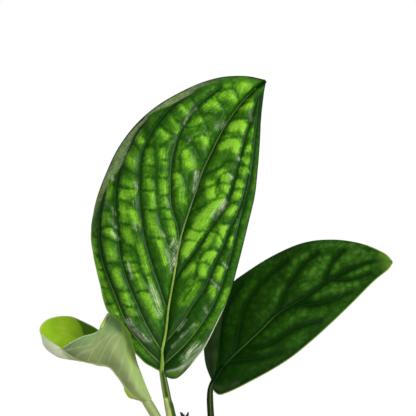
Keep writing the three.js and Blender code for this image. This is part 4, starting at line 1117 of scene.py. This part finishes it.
def make_right_blade(settings):
    """The older blade: smoother and darker, folded a little along its midrib."""
    mesh, drawing, s, f, flat = flat_blade(
        "right_leaf_blade", settings.right_columns, settings.right_rows, RIGHT_JOINT, RIGHT_MIDRIB,
        (RIGHT_UPPER_MARGIN, RIGHT_LOWER_MARGIN), right_depth, RIGHT_FAN,
    )
    midrib = distance(flat, [drawing["midrib"]])
    lateral = veins_of(flat, RIGHT_LATERALS)
    edge = np.abs(distance(flat, [drawing["left"], drawing["right"]]))
    near = np.minimum(np.abs(midrib), np.abs(lateral))
    rib_width = 0.16 + 0.55 * (1 - f) ** 2
    pillows = RIGHT_RELIEF * (1 - bump(np.minimum(near, edge), RIGHT_REACH))
    points, outward = raise_blade(drawing, s, f, pillows)
    shape_mesh(mesh, points)
    face_outwards(mesh, outward)

    lightness = 0.45 + 0.65 * smoothstep(0.15, 0.75, f)
    facet = smoothstep(-0.2, 0.5, veins_of(flat, [RIGHT_FACET])) * falloff(0.3, 0.35, f)
    facet = np.maximum(facet, strokes(flat, RIGHT_LOBE_SHEEN))
    near = np.minimum(near, 0.6 * np.abs(veins_of(flat, [RIGHT_CREASE])))
    note(mesh, "veins", [midrib / rib_width, lateral, np.abs(lateral)])
    note(mesh, "cells", [near, edge, lightness])
    note(mesh, "place", [strokes(flat, RIGHT_CRESTS), f, facet])
    faces = [dark_leaf_material(settings), dark_underside_material(settings)]
    piece = finish_piece("right_leaf_blade", mesh, faces, "right_blade")
    thicken(piece, BLADE_SKIN, 1.2, (1 - 0.75 * f) * bump(midrib, 2.0))
    colours = (settings.dark_leaf_thread, settings.dark_leaf_midrib, settings.dark_leaf_thread)
    skin = stalk_material("right_midrib_skin", *colours)
    make_midrib("right_leaf_midrib", drawing, (0.6, 0.2), (0.06, 0.28), (0.38, 0.5), skin)


def make_young_blade(settings):
    """The youngest blade, still rolled like a funnel, its outside to the viewer."""
    mesh, v, u = grid_mesh("young_leaf_blade", settings.young_columns, settings.young_rows)
    sheet = young_sheet(v, u)
    flat = sheet[:, [0, 2]]
    right = flat[:, 0]
    outward = -slopes(young_sheet, v, u, 0.003)
    wave = 0.5 + 0.5 * np.cos(2 * np.pi * YOUNG_RIBS * (u + 0.5 * np.abs(v - 0.5)))
    fade = smoothstep(0, 0.08, u) * falloff(0.85, 0.95, u)
    rib = wave**3 * fade
    veins = strokes(flat, YOUNG_VEINS) * (v < 0.5)
    skin = settings.young_outer_skin / MM * (1 - 0.5 * smoothstep(0.8, 1, u)) + 0.1 * rib + 0.12 * veins
    shape_mesh(mesh, (sheet + outward * skin[:, None] + np.asarray(YOUNG_JOINT)) * MM)
    face_outwards(mesh, outward)

    from_rim, from_spine, from_far_rim = (
        np.linalg.norm(sheet - young_sheet(np.full_like(v, place), u), axis=1) for place in (0.0, 0.5, 1.0)
    )
    from_rim = np.minimum(from_rim, from_far_rim)
    near_half = falloff(0.42, 0.5, v)
    warm = smoothstep(-0.5, 0.8, -veins_of(flat, [YOUNG_CREASE])) * near_half
    cup = smoothstep(0.5, 0.62, v) * smoothstep(0.45, 0.6, u)
    # A painted highlight: a pale sliver where the near margin's top edge catches the light.
    cup = cup + falloff(0.03, 0.08, v) * bump(u - 0.5, 0.06)
    flap = smoothstep(0.5, 0.54, v) * falloff(0.17, 0.22, u)
    cup_lines = strokes(flat, YOUNG_CUP_LINES) * (v > 0.5)
    base = falloff(0.02, 0.25, u)
    shoulder = smoothstep(-0.4, 1.2, -veins_of(flat, [YOUNG_SHOULDER])) * near_half
    corner = bump(right + 40, 7) * near_half
    shadow = smoothstep(-0.5, 0.6, -veins_of(flat, [YOUNG_CUP_SHADE])) * smoothstep(0.5, 0.6, v)
    # The third is painted shade towards the far end of the cup's inside.
    note(mesh, "cup", [flap, cup_lines, falloff(-51, -40, right)])
    note(mesh, "tones", [shoulder, corner, shadow])
    note(mesh, "veins", [from_spine * (1 + 1.2 * smoothstep(0.5, 0.75, u)), 0.15 * rib + veins, warm])
    note(mesh, "cells", [from_rim, cup, base])
    faces = [young_outer_material(settings), young_inner_material(settings)]
    piece = finish_piece("young_leaf_blade", mesh, faces, "young_blade")
    thicken(piece, BLADE_SKIN, 1.0, bump(v - 0.5, 0.05) * (1 - 0.8 * u))


def length_of(points):
    return np.linalg.norm(np.diff(curve_through(points)[0], axis=0), axis=1).sum()


def tube(name, path, run, rings, sides, radius_at, pale_at, material, node):
    """A round stalk along a path, which runs on into its blade.

    radius_at(turn, t) and pale_at(turn, t) are measured from the viewer's side, and t is 1 where
    the blade begins.
    """
    mesh, around, share = grid_mesh(name, sides, rings)
    turn = 2 * np.pi * around
    wrapped = np.where(turn > np.pi, turn - 2 * np.pi, turn)
    curve = curve_through(path + run)
    t = share * length_of(path + run) / length_of(path)
    centre = along(curve, share)
    tangent = along(curve, np.minimum(1, share + 0.01)) - along(curve, np.maximum(0, share - 0.01))
    tangent /= np.linalg.norm(tangent, axis=1)[:, None]
    forward = TO_VIEWER - tangent * (tangent @ TO_VIEWER)[:, None]
    forward /= np.linalg.norm(forward, axis=1)[:, None]
    sideways = np.cross(forward, tangent)
    radius = radius_at(wrapped, t)[:, None]
    points = centre + radius * (forward * np.cos(turn)[:, None] + sideways * np.sin(turn)[:, None])
    shape_mesh(mesh, points * MM)
    note(mesh, "stalk", [np.abs(wrapped), t, pale_at(wrapped, t)])
    bm = bmesh.new()
    bm.from_mesh(mesh)
    bmesh.ops.remove_doubles(bm, verts=bm.verts[:], dist=MERGE)
    bmesh.ops.holes_fill(bm, edges=[e for e in bm.edges if e.is_boundary], sides=0)
    bmesh.ops.recalc_face_normals(bm, faces=bm.faces[:])
    bm.to_mesh(mesh)
    bm.free()
    finish_piece(name, mesh, [material], node)


def heel(t):
    """Rounding of a stalk's lower end, where it lies against the stem."""
    return 0.45 + 0.55 * np.sqrt(clamp01(t / 0.035) * (2 - clamp01(t / 0.035)))


def make_stem(settings):
    """The short vine stem: ringed where its nodes are, with fine ridges."""

    def radius(turn, t):
        swellings = sum(0.9 * bump(t - place, 0.035) for place in STEM_NODES)
        scars = sum(0.35 * bump(t - place + 0.03, 0.006) for place in STEM_NODES)
        ridges = 0.06 * np.cos(11 * turn) * falloff(0.9, 1, t)
        return STEM_RADIUS + swellings + scars + ridges

    def scar(turn, t):
        return sum(bump(t - place + 0.03, 0.012) for place in STEM_NODES)

    skin = stalk_material("stem_skin", settings.stem, settings.stem_scar, settings.stem_shade, 0.55)
    tube("stem_and_nodes", STEM_PATH, [], 110, 40, radius, scar, skin, "stem")


def make_large_stalk(settings):
    """The large leaf's stalk: a sheath that ends part-way up, and a channel above it."""

    def radius(turn, t):
        body = 1.75 + 1.9 * np.maximum(0, 1 - t) ** 1.4 - 0.45 * smoothstep(0.86, 1.0, t)
        wrap = 0.8 * bump(turn + 0.9, 0.7) * falloff(SHEATH_END - 0.02, SHEATH_END + 0.04, t)
        channel = 0.55 * bump(turn, 0.42) * smoothstep(SHEATH_END - 0.06, SHEATH_END + 0.04, t)
        channel = channel * falloff(0.97, 1.03, t)
        joint = 0.25 * bump(t - 0.97, 0.05)
        return (body + wrap + joint - channel) * (1 - 0.55 * smoothstep(1, 1.18, t)) * heel(t)

    def pale(turn, t):
        rims = 0.7 * bump(turn - 0.85, 0.3) + 0.4 * bump(turn + 0.6, 0.2)
        rims = rims * smoothstep(SHEATH_END, SHEATH_END + 0.05, t)
        wrapped = smoothstep(-0.45, -0.1, turn) * falloff(SHEATH_END + 0.04, SHEATH_END + 0.06, t)
        return clamp01(rims + wrapped)

    colours = (settings.stalk, settings.stalk_pale, settings.stalk_shade)
    skin = stalk_material("large_stalk_skin", *colours, crown=settings.stalk_crown)
    tube(
        "large_leaf_stalk", LARGE_STALK_PATH, LARGE_STALK_RUN, 150, 40, radius, pale, skin,
        "large_stalk",
    )


def make_right_stalk(settings):
    """The dark leaf's stalk, with one paler line down its front."""

    def radius(turn, t):
        neck = 0.3 * smoothstep(0.85, 1, t) + 0.3 * bump(turn + 0.4, 0.4) * falloff(0.95, 1, t)
        return (1.65 + 0.9 * np.maximum(0, 1 - t) ** 2 - neck) * (1 - 0.5 * smoothstep(1, 1.2, t)) * heel(t)

    def pale(turn, t):
        return 0.6 * bump(turn + 0.1, 0.18) * (1 - 0.7 * smoothstep(0.95, 1.05, t))

    colours = (settings.dark_stalk, settings.dark_stalk_streak, settings.dark_stalk_shade)
    skin = stalk_material("right_stalk_skin", *colours, crown=settings.dark_stalk_crown)
    tube(
        "right_leaf_stalk", RIGHT_STALK_PATH, RIGHT_STALK_RUN, 150, 36, radius, pale, skin,
        "right_stalk",
    )


def make_young_stalk(settings):
    """The young leaf's stalk: pale, with an olive side."""

    def radius(turn, t):
        body = 2.2 + 0.3 * np.minimum(1, t) + 0.3 * bump(t, 0.2) - 0.2 * bump(turn - 0.6, 0.5)
        return body * (1 - 0.6 * smoothstep(1, 1.15, t)) * heel(t)

    def olive(turn, t):
        return clamp01(0.8 * bump(turn + 1.4, 0.8) * smoothstep(0.3, 0.9, t))

    colours = (settings.young_stalk, settings.young_stalk_olive, settings.young_stalk_pale)
    tube(
        "young_leaf_stalk", YOUNG_STALK_PATH, YOUNG_STALK_RUN, 150, 36, radius, olive,
        stalk_material("young_stalk_skin", *colours), "young_stalk",
    )


def make_dry_sheath(settings):
    """The withered sheath: a thin hollow strip, crumpled and ragged towards its notched end."""
    mesh, across, up = grid_mesh("withered_sheath", 30, 120)
    s = 2 * across - 1
    notch = 0.06 * (1 - np.abs(s)) * smoothstep(0.8, 1, up)
    share = up * (1 - notch)
    width = 3.4 - 1.9 * smoothstep(0, 0.85, share)
    ragged = 0.25 * np.sin(23 * share + 4 * s) * smoothstep(0.5, 1, share)
    hollow = 1.1 * (1 - s * s) * (1 - 0.5 * share)
    crumple = 0.4 * np.sin(3 * s + 9 * share)
    offset = np.column_stack([s * width + ragged * s, hollow + 0.15 * np.sin(17 * s + 30 * share), crumple])
    shape_mesh(mesh, (along(curve_through(DRY_SHEATH_PATH), share) + offset) * MM)
    face_outwards(mesh, np.tile(TO_VIEWER, (len(s), 1)))
    fibres = dry_sheath_material(settings)
    piece = finish_piece("withered_sheath", mesh, [fibres, fibres], "dry_sheath")
    thicken(piece, 0.5, 0.7, np.zeros(len(s)))


def spin_profile(bm, section, steps, closed=False):
    """Spins a half section, told as radius and height in millimetres, once round the axis."""
    line = [bm.verts.new((radius * MM, 0, height * MM)) for radius, height in section]
    following = line[1:] + line[:1] if closed else line[1:]
    edges = [bm.edges.new(ends) for ends in zip(line, following)]
    bmesh.ops.spin(
        bm, geom=line + edges, cent=(0, 0, 0), axis=(0, 0, 1), angle=2 * math.pi, steps=steps, use_merge=True
    )


def pot_profile(settings):
    """Half section of the pot in millimetres: radius, height and the rounding of each corner."""
    top, foot, wall = settings.pot_top / MM, settings.pot_foot / MM, settings.pot_wall / MM
    high, collar = settings.pot_height / MM, settings.collar / MM
    under = high - collar
    inside_top = top - wall
    inside_foot = foot - wall + 1
    return [
        (DRAIN_RADIUS, 0, 0.8),
        (foot, 0, 1.5),
        (top - 4.5, under, 1.2),
        (top - 1.5, under, 1.0),
        (top, high, 2.0),
        (inside_top, high, 2.0),
        (inside_foot, POT_FLOOR, 4.0),
        (DRAIN_RADIUS, POT_FLOOR, 1.0),
    ]


def on_circle(edge, radius, height):
    """Whether an edge lies on a circle round the axis, told in millimetres."""
    ends = [vert.co for vert in edge.verts]
    level = all(abs(end.z - height * MM) < MERGE for end in ends)
    return level and all(abs(end.xy.length - radius * MM) < 10 * MERGE for end in ends)


def make_pot(settings):
    """The clay pot: turned, with rounded corners, and rippled by the hand that turned it."""
    profile = pot_profile(settings)
    bm = bmesh.new()
    spin_profile(bm, [(radius, height) for radius, height, _ in profile], 144, closed=True)
    for radius, height, rounding in profile:
        ring = [e for e in bm.edges if on_circle(e, radius, height)]
        bmesh.ops.bevel(
            bm, geom=ring, offset=rounding * MM, affect="EDGES", segments=4, profile=0.5, material=-1
        )
    long_edges = [e for e in bm.edges if e.calc_length() > LONG_EDGE]
    bmesh.ops.subdivide_edges(bm, edges=long_edges, cuts=12, use_grid_fill=True)
    for vert in bm.verts:
        wobble = noise.noise(Vector((vert.co.x * 18, vert.co.y * 18, vert.co.z * 55)))
        ripple = noise.noise(Vector((0, 0, vert.co.z * 420)))
        outward = Vector((vert.co.x, vert.co.y, 0)).normalized()
        above_foot = float(smoothstep(0.003, 0.012, vert.co.z))
        vert.co += outward * above_foot * (0.25 * wobble + 0.12 * ripple) * MM
    bmesh.ops.recalc_face_normals(bm, faces=bm.faces[:])
    finish_piece("clay_pot", mesh_of(bm, "clay_pot"), [clay_material(settings)], "pot")


def soil_height(x, y):
    """Height of the soil's top in millimetres: a low mound with gentle lumps."""
    radius = math.hypot(x, y)
    mound = 2.5 * math.exp(-((radius / 24) ** 2))
    inside = float(falloff(0.85, 1, radius / SOIL_RIM))
    lumps = math.sin(x * 0.42 + 1.3) * math.cos(y * 0.37) + 0.7 * math.sin(x * 0.21 - y * 0.33 + 2)
    return SOIL_TOP + mound + 0.9 * lumps * inside


def make_soil(compost):
    """The potting soil: a plug in the pot with a crumbly mound on top."""
    bm = bmesh.new()
    top = [(SOIL_RIM * (k / SOIL_RINGS), SOIL_TOP) for k in range(SOIL_RINGS + 1)]
    chamfer = [(SOIL_FOOT, SOIL_BOTTOM + SOIL_CHAMFER), (SOIL_FOOT - SOIL_CHAMFER, SOIL_BOTTOM)]
    spin_profile(bm, top + chamfer + [(0, SOIL_BOTTOM)], 180)
    bmesh.ops.remove_doubles(bm, verts=bm.verts[:], dist=MERGE)
    for vert in bm.verts:
        if vert.co.z > SOIL_TOP / 2 * MM:
            x, y = vert.co.x / MM, vert.co.y / MM
            grain = noise.fractal(Vector((x * 0.55, y * 0.55, 3.0)), 0.9, 2.1, 4)
            inside = float(falloff(0.9, 1, math.hypot(x, y) / SOIL_RIM))
            vert.co.z = (soil_height(x, y) + 0.9 * grain * inside - SOIL_SINK) * MM
    bmesh.ops.recalc_face_normals(bm, faces=bm.faces[:])
    finish_piece("potting_soil", mesh_of(bm, "potting_soil"), [compost], "soil")


def scatter(name, count, sizes, flatness, seed, material):
    """Small rough grains half sunk in the top of the soil, clear of the stem."""
    random = np.random.default_rng(seed)
    stem_x, stem_y = STEM_FOOT
    bm = bmesh.new()
    placed = 0
    while placed < count:
        angle, radius = random.uniform(0, 2 * math.pi), GRAIN_FIELD * math.sqrt(random.uniform(0, 1))
        x, y = radius * math.cos(angle), radius * math.sin(angle)
        size = random.uniform(*sizes)
        if radius + size > GRAIN_FIELD + 0.5 or math.hypot(x - stem_x, y - stem_y) < STEM_CLEARANCE + size:
            continue
        placed += 1
        lift = soil_height(x, y) - SOIL_SINK + 0.15 * size
        turn = Matrix.Rotation(random.uniform(0, 2 * math.pi), 4, "Z")
        tilt = Matrix.Rotation(random.uniform(-0.4, 0.4), 4, "X")
        shape = Matrix.Diagonal((1, random.uniform(0.55, 0.95), flatness * random.uniform(0.8, 1.2), 1))
        place = Matrix.Translation((x * MM, y * MM, lift * MM)) @ turn @ tilt @ shape
        made = bmesh.ops.create_icosphere(bm, subdivisions=2, radius=size * MM, matrix=place)
        shift = Vector(random.uniform(0, 90, 3))
        centre = Vector((x, y, lift)) * MM
        for vert in made["verts"]:
            away = vert.co - centre
            vert.co = centre + away * (1 + 0.45 * noise.noise(away / (size * MM) * 1.6 + shift))
    finish_piece(name, mesh_of(bm, name), [material])


def area_light(name, place, target, size, power, gloss=True):
    """A softbox, or with gloss off one that fills without showing in the leaves' shine."""
    data = bpy.data.lights.new(name, "AREA")
    data.shape = "RECTANGLE"
    data.size, data.size_y = size
    data.energy = power
    lamp = bpy.data.objects.new(name, data)
    lamp.location = place
    lamp.rotation_euler = (Vector(target) - Vector(place)).to_track_quat("-Z", "Y").to_euler()
    lamp.visible_glossy = gloss
    bpy.context.scene.collection.objects.link(lamp)


def make_world(settings):
    """White surroundings for the camera, and light that is soft in front and bright behind."""
    world = bpy.data.worlds.new("Studio")
    world.use_nodes = True
    tree = world.node_tree
    tree.nodes.clear()
    direction = feed(tree, "ShaderNodeTexCoord", "Generated")
    depth = feed(tree, "ShaderNodeSeparateXYZ", "Y", {"Vector": direction})
    path = add_node(tree, "ShaderNodeLightPath").outputs
    strength = depth.spread(-0.25, 0.75, settings.front_light, settings.back_light)
    strength = strength * Wire(path["Is Glossy Ray"]).spread(0.0, 1.0, 1.0, settings.gloss_share)
    light, seen = (
        feed(tree, "ShaderNodeBackground", 0, {"Color": (1, 1, 1, 1), "Strength": power})
        for power in (strength, 1.0)
    )
    either = feed(tree, "ShaderNodeMixShader", 0, {0: Wire(path["Is Camera Ray"]), 1: light, 2: seen})
    add_node(tree, "ShaderNodeOutputWorld", {"Surface": either})
    bpy.context.scene.world = world


def make_floor(settings):
    """A round pale floor, faintly uneven in tone."""
    bm = bmesh.new()
    bmesh.ops.create_circle(bm, cap_ends=True, segments=128, radius=settings.floor_radius)
    mesh = mesh_of(bm, "studio_floor")
    material, tree = new_material("studio_floor_paint")
    tone = object_noise(tree, 30, 2).spread(0.3, 0.7)
    surface(material, paint(tone, settings.floor_shade, settings.floor_pale), 0.8, specular=0.2)
    mesh.materials.append(material)
    floor = bpy.data.objects.new("studio_floor", mesh)
    bpy.context.scene.collection.objects.link(floor)


def make_camera(settings):
    """A level camera at the photograph's viewing angle."""
    data = bpy.data.cameras.new("View")
    data.sensor_width = 36
    data.lens = data.sensor_width * settings.camera_distance / settings.frame_width
    data.clip_start, data.clip_end = 0.05, 50
    camera = bpy.data.objects.new("View", data)
    right, up = settings.frame_centre
    camera.location = (right, -settings.camera_distance, up)
    camera.rotation_euler = (math.pi / 2, 0, 0)
    bpy.context.scene.collection.objects.link(camera)
    bpy.context.scene.camera = camera


def colour_property(name, description, default):
    return FloatVectorProperty(
        name=name, description=description, default=default, subtype="COLOR", size=3, min=0, max=1
    )


def length_property(name, description, default):
    return FloatProperty(name=name, description=description, default=default, unit="LENGTH")


def light_property(name, description, default):
    return FloatProperty(name=name, description=description, default=default, min=0, max=2)


def count_property(name, description, default, least=20, most=320):
    return IntProperty(name=name, description=description, default=default, min=least, max=most)


class AroidLeafSettings(bpy.types.PropertyGroup):
    large_rows: count_property("Large rows", "Cells along the large blade", 275)
    large_columns: count_property("Large columns", "Cells across the large blade", 172, most=200)
    right_rows: count_property("Right rows", "Cells along the right blade", 200)
    right_columns: count_property("Right columns", "Cells across the right blade", 120, most=200)
    # From vein band to cell crown: partly the leaf's own greens, partly painted shade in the veins and
    # painted light on the cells' crowns.
    vein_band: colour_property("Vein band", "Dark green of the sunken veins", (0.004, 0.036, 0.001))
    cell_edge: colour_property("Cell edge", "Green at the edge of a cell", (0.020, 0.095, 0.003))
    cell: colour_property("Cell", "Green of a cell", (0.085, 0.26, 0.008))
    cell_crown: colour_property("Cell crown", "Brightest green of a cell", (0.235, 0.54, 0.026))
    # Painted reflection on the turned-back strip of the left margin.
    painted_reflection: colour_property("Gloss band", "Pale turned strip of the left margin", (0.26, 0.37, 0.14))
    # Painted highlights on the slopes of the cells and along the lobe's ridge.
    painted_sheen: colour_property("Sheen", "Pale streaks on the slopes", (0.55, 0.62, 0.42))
    # Painted light on the turned-back strip of the lobe.
    lobe: colour_property("Lobe", "Even green outside the ridge of the lobe", (0.075, 0.22, 0.015))
    margin: colour_property("Margin", "Dark green line along the margin", (0.004, 0.032, 0.0015))
    margin_leafy: colour_property("Leafy margin", "Its yellow-green part", (0.30, 0.54, 0.04))
    # Painted highlight along part of the right margin.
    margin_highlight: colour_property("Bright margin", "Its almost white part", (0.85, 0.95, 0.62))
    vein_line: colour_property("Vein line", "Darkest line in a side vein", (0.005, 0.035, 0.002))
    # Painted highlight beside the side veins of the large blade; also the colour of the lines on the large
    # midrib's skin.
    vein_thread: colour_property("Vein thread", "Thin grey line beside it", (0.10, 0.20, 0.055))
    midrib: colour_property("Midrib", "Pale green of the midrib", (0.30, 0.47, 0.07))
    midrib_far: colour_property("Far midrib", "Greyer green towards the tip", (0.12, 0.20, 0.07))
    underside: colour_property("Underside", "Green of the leaves' undersides", (0.20, 0.36, 0.11))
    underside_vein: colour_property("Underside vein", "Veins on the undersides", (0.30, 0.44, 0.18))
    dark_leaf: colour_property("Dark leaf", "Green of the older leaf", (0.0008, 0.014, 0.0002))
    dark_leaf_cell: colour_property("Dark leaf cell", "Green between its veins", (0.018, 0.076, 0.004))
    dark_leaf_crown: colour_property("Dark leaf crown", "Lightest mottling", (0.060, 0.165, 0.016))
    dark_leaf_facet: colour_property("Dark leaf facet", "Strip turned to the light", (0.032, 0.066, 0.018))
    dark_leaf_tip: colour_property("Dark leaf tip", "Paler olive of its tip", (0.12, 0.25, 0.025))
    dark_leaf_groove: colour_property("Dark leaf groove", "Shade along its veins", (0.003, 0.02, 0.001))
    dark_leaf_thread: colour_property("Dark leaf thread", "Its midrib towards the tip", (0.010, 0.045, 0.004))
    dark_leaf_midrib: colour_property("Dark leaf midrib", "Line of its midrib", (0.045, 0.11, 0.016))
    dark_leaf_edge: colour_property("Dark leaf edge", "Yellow-green line of its margin", (0.20, 0.32, 0.045))


class AroidYoungSettings(bpy.types.PropertyGroup):
    young_rows: count_property("Rows", "Cells along the young blade", 170)
    young_columns: count_property("Columns", "Cells across the young blade", 130, most=200)
    young_outer_skin: length_property("Skin", "From the middle of the sheet to its outside", 0.0007)
    young_outside: colour_property("Outside", "Sage of the young leaf's outside", (0.265, 0.345, 0.125))
    young_shoulder: colour_property("Shoulder", "Greener smooth part above", (0.21, 0.34, 0.13))
    young_corner: colour_property("Corner", "Deeper part towards the tip", (0.16, 0.19, 0.09))
    young_warm: colour_property("Warm strip", "Yellower strip beside the crease", (0.33, 0.48, 0.12))
    young_base: colour_property("Base", "Green of its base", (0.34, 0.45, 0.15))
    young_vein: colour_property("Vein", "Paler veins", (0.46, 0.56, 0.32))
    # Also the colour of the painted highlight on the near margin's top edge.
    young_cup: colour_property("Cup", "Whitish outside of the cup", (0.72, 0.78, 0.54))
    young_midrib: colour_property("Midrib", "Yellow-green line of its midrib", (0.60, 0.70, 0.30))
    young_rim: colour_property("Rim", "Pale rim", (0.47, 0.61, 0.25))
    young_inside: colour_property("Inside", "Bright inside", (0.42, 0.68, 0.020))
    young_inside_deep: colour_property("Inside patches", "Deeper inside", (0.33, 0.58, 0.014))
    # Painted shade: the inside is painted darker towards its far end.
    young_inside_dusk: colour_property("Inside dusk", "Deeper green at its far end", (0.22, 0.40, 0.010))
    young_inside_shade: colour_property("Inside shade", "Darkest inside", (0.05, 0.16, 0.003))
    young_cup_line: colour_property("Cup line", "Pale line inside the cup", (0.55, 0.74, 0.12))


class AroidStalkSettings(bpy.types.PropertyGroup):
    stem: colour_property("Stem", "Green of the stem", (0.10, 0.17, 0.04))
    stem_scar: colour_property("Scar", "Brownish rings at its nodes", (0.16, 0.13, 0.06))
    stem_shade: colour_property("Stem shade", "Darker lines of the stem", (0.06, 0.11, 0.025))
    stalk: colour_property("Stalk", "Green of the large stalk", (0.026, 0.075, 0.005))
    stalk_pale: colour_property("Stalk ridges", "Pale ridges and sheath", (0.50, 0.62, 0.20))
    stalk_shade: colour_property("Stalk shade", "Shade of the large stalk", (0.045, 0.11, 0.010))
    stalk_crown: colour_property("Stalk crown", "Its top below the midrib", (0.24, 0.42, 0.05))
    dark_stalk: colour_property("Dark stalk", "Green of the right stalk", (0.010, 0.024, 0.002))
    dark_stalk_streak: colour_property("Streak", "Pale streak on it", (0.12, 0.17, 0.05))
    dark_stalk_shade: colour_property("Dark stalk shade", "Shade of the right stalk", (0.020, 0.038, 0.004))
    dark_stalk_crown: colour_property("Dark stalk crown", "Its top in the blade", (0.002, 0.016, 0.001))
    young_stalk: colour_property("Young stalk", "Yellow-green of the young stalk", (0.36, 0.46, 0.16))
    young_stalk_olive: colour_property("Olive", "Olive side of the young stalk", (0.16, 0.19, 0.04))
    young_stalk_pale: colour_property("Young stalk lines", "Paler lines on it", (0.42, 0.52, 0.22))
    dry_dark: colour_property("Dry sheath dark", "Darkest fibres", (0.02, 0.010, 0.006))
    dry_brown: colour_property("Dry sheath", "Brown of the withered sheath", (0.06, 0.028, 0.014))
    dry_pale: colour_property("Dry sheath pale", "Palest fibres", (0.16, 0.09, 0.045))


class AroidPotSettings(bpy.types.PropertyGroup):
    pot_top: length_property("Top radius", "Radius of the lip", 0.06)
    pot_foot: length_property("Foot radius", "Radius of the base", 0.039)
    pot_height: length_property("Height", "Height of the pot", 0.106)
    pot_wall: length_property("Wall", "Thickness of its wall", 0.0055)
    collar: length_property("Collar", "Height of its collar", 0.026)
    clay: colour_property("Clay", "Colour of the fired clay", (0.48, 0.165, 0.065))
    clay_deep: colour_property("Clay deep", "Deeper clay", (0.38, 0.12, 0.045))
    clay_pale: colour_property("Clay pale", "Paler clay", (0.56, 0.23, 0.105))
    lime: colour_property("Lime bloom", "Whitish bloom on the clay", (0.62, 0.45, 0.34))
    compost: colour_property("Compost", "Colour of the potting soil", (0.045, 0.025, 0.014))
    compost_dark: colour_property("Compost dark", "Darkest soil", (0.015, 0.009, 0.006))
    compost_pale: colour_property("Compost pale", "Palest fibres in it", (0.12, 0.07, 0.04))
    perlite: colour_property("Perlite", "White grains", (0.80, 0.78, 0.74))
    perlite_shade: colour_property("Perlite shade", "Pits in the grains", (0.55, 0.52, 0.48))
    crumbs: count_property("Crumbs", "Crumbs on the soil", 300, 0, 800)
    grains: count_property("Grains", "Perlite grains on the soil", 70, 0, 300)


class AroidStageSettings(bpy.types.PropertyGroup):
    frame_width: length_property("Frame width", "Width that the picture shows", 0.208)
    frame_centre: FloatVectorProperty(
        name="Frame centre", description="Right and up of its centre", default=(-0.0041, 0.256), size=2
    )
    camera_distance: length_property("Distance", "Camera to the leaves", 2.0)
    floor_radius: length_property("Floor radius", "Radius of the floor", 0.5)
    floor_pale: colour_property("Floor", "Pale tone of the floor", (0.885, 0.885, 0.885))
    floor_shade: colour_property("Floor shade", "Its slightly darker patches", (0.875, 0.875, 0.875))
    front_light: light_property("Front light", "Surrounding light in front", 0.5)
    back_light: light_property("Back light", "Surrounding light behind", 0.9)
    gloss_share: light_property("Gloss share", "Share of it that shines on the leaves", 0.12)


class AROID_OT_pot(bpy.types.Operator):
    """Build the clay pot"""

    bl_idname = "aroid.pot"
    bl_label = "Clay pot"

    def execute(self, context):
        make_pot(context.scene.aroid_pot)
        return {"FINISHED"}


class AROID_OT_soil(bpy.types.Operator):
    """Build the potting soil with its crumbs and grains"""

    bl_idname = "aroid.soil"
    bl_label = "Potting soil"

    def execute(self, context):
        settings = context.scene.aroid_pot
        compost = compost_material(settings)
        make_soil(compost)
        scatter("soil_crumbs", settings.crumbs, (0.8, 2.2), 0.7, 11, compost)
        perlite = perlite_material(settings)
        scatter("perlite_grains", settings.grains, (0.7, 1.7), 0.85, 12, perlite)
        return {"FINISHED"}


class AROID_OT_stalks(bpy.types.Operator):
    """Build the stem, the three stalks and the withered sheath"""

    bl_idname = "aroid.stalks"
    bl_label = "Stem and stalks"

    def execute(self, context):
        settings = context.scene.aroid_stalks
        for make in (make_stem, make_large_stalk, make_right_stalk, make_young_stalk, make_dry_sheath):
            make(settings)
        return {"FINISHED"}


class AROID_OT_large_leaf(bpy.types.Operator):
    """Build the large quilted leaf blade"""

    bl_idname = "aroid.large_leaf"
    bl_label = "Large leaf"

    def execute(self, context):
        make_large_blade(context.scene.aroid_leaves)
        return {"FINISHED"}


class AROID_OT_right_leaf(bpy.types.Operator):
    """Build the older dark leaf blade"""

    bl_idname = "aroid.right_leaf"
    bl_label = "Right leaf"

    def execute(self, context):
        make_right_blade(context.scene.aroid_leaves)
        return {"FINISHED"}


class AROID_OT_young_leaf(bpy.types.Operator):
    """Build the rolled young leaf blade"""

    bl_idname = "aroid.young_leaf"
    bl_label = "Young leaf"

    def execute(self, context):
        make_young_blade(context.scene.aroid_young)
        return {"FINISHED"}


class AROID_OT_stage(bpy.types.Operator):
    """Set the floor, the light and the camera"""

    bl_idname = "aroid.stage"
    bl_label = "Stage"

    def execute(self, context):
        settings = context.scene.aroid_stage
        make_floor(settings)
        make_world(settings)
        make_camera(settings)
        middle = (0, 0, 0.24)
        area_light("Key", (0.9, -1.0, 0.75), middle, (0.8, 0.8), 14, gloss=False)
        area_light("Shine", (1.2, -0.9, 0.35), middle, (0.3, 0.5), 3.5)
        context.scene.view_settings.view_transform = "Standard"
        return {"FINISHED"}


class AROID_PT_panel(bpy.types.Panel):
    """Lists the steps that build the plant and its stage"""

    bl_idname = "AROID_PT_panel"
    bl_label = "Potted aroid"
    bl_space_type = "VIEW_3D"
    bl_region_type = "UI"
    bl_category = "Aroid"

    def draw(self, context):
        for operator in OPERATORS:
            self.layout.operator(operator.bl_idname)


SETTINGS = {
    "aroid_leaves": AroidLeafSettings,
    "aroid_young": AroidYoungSettings,
    "aroid_stalks": AroidStalkSettings,
    "aroid_pot": AroidPotSettings,
    "aroid_stage": AroidStageSettings,
}
OPERATORS = (
    AROID_OT_stage,
    AROID_OT_pot,
    AROID_OT_soil,
    AROID_OT_stalks,
    AROID_OT_large_leaf,
    AROID_OT_right_leaf,
    AROID_OT_young_leaf,
)


def register():
    for made in (*SETTINGS.values(), *OPERATORS, AROID_PT_panel):
        bpy.utils.register_class(made)
    for name, group in SETTINGS.items():
        setattr(bpy.types.Scene, name, PointerProperty(type=group))


def unregister():
    for name in SETTINGS:
        delattr(bpy.types.Scene, name)
    for made in reversed((*SETTINGS.values(), *OPERATORS, AROID_PT_panel)):
        bpy.utils.unregister_class(made)


def main():
    register()
    for operator in OPERATORS:
        category, name = operator.bl_idname.split(".")
        getattr(getattr(bpy.ops, category), name)()


if __name__ == "__main__":
    main()
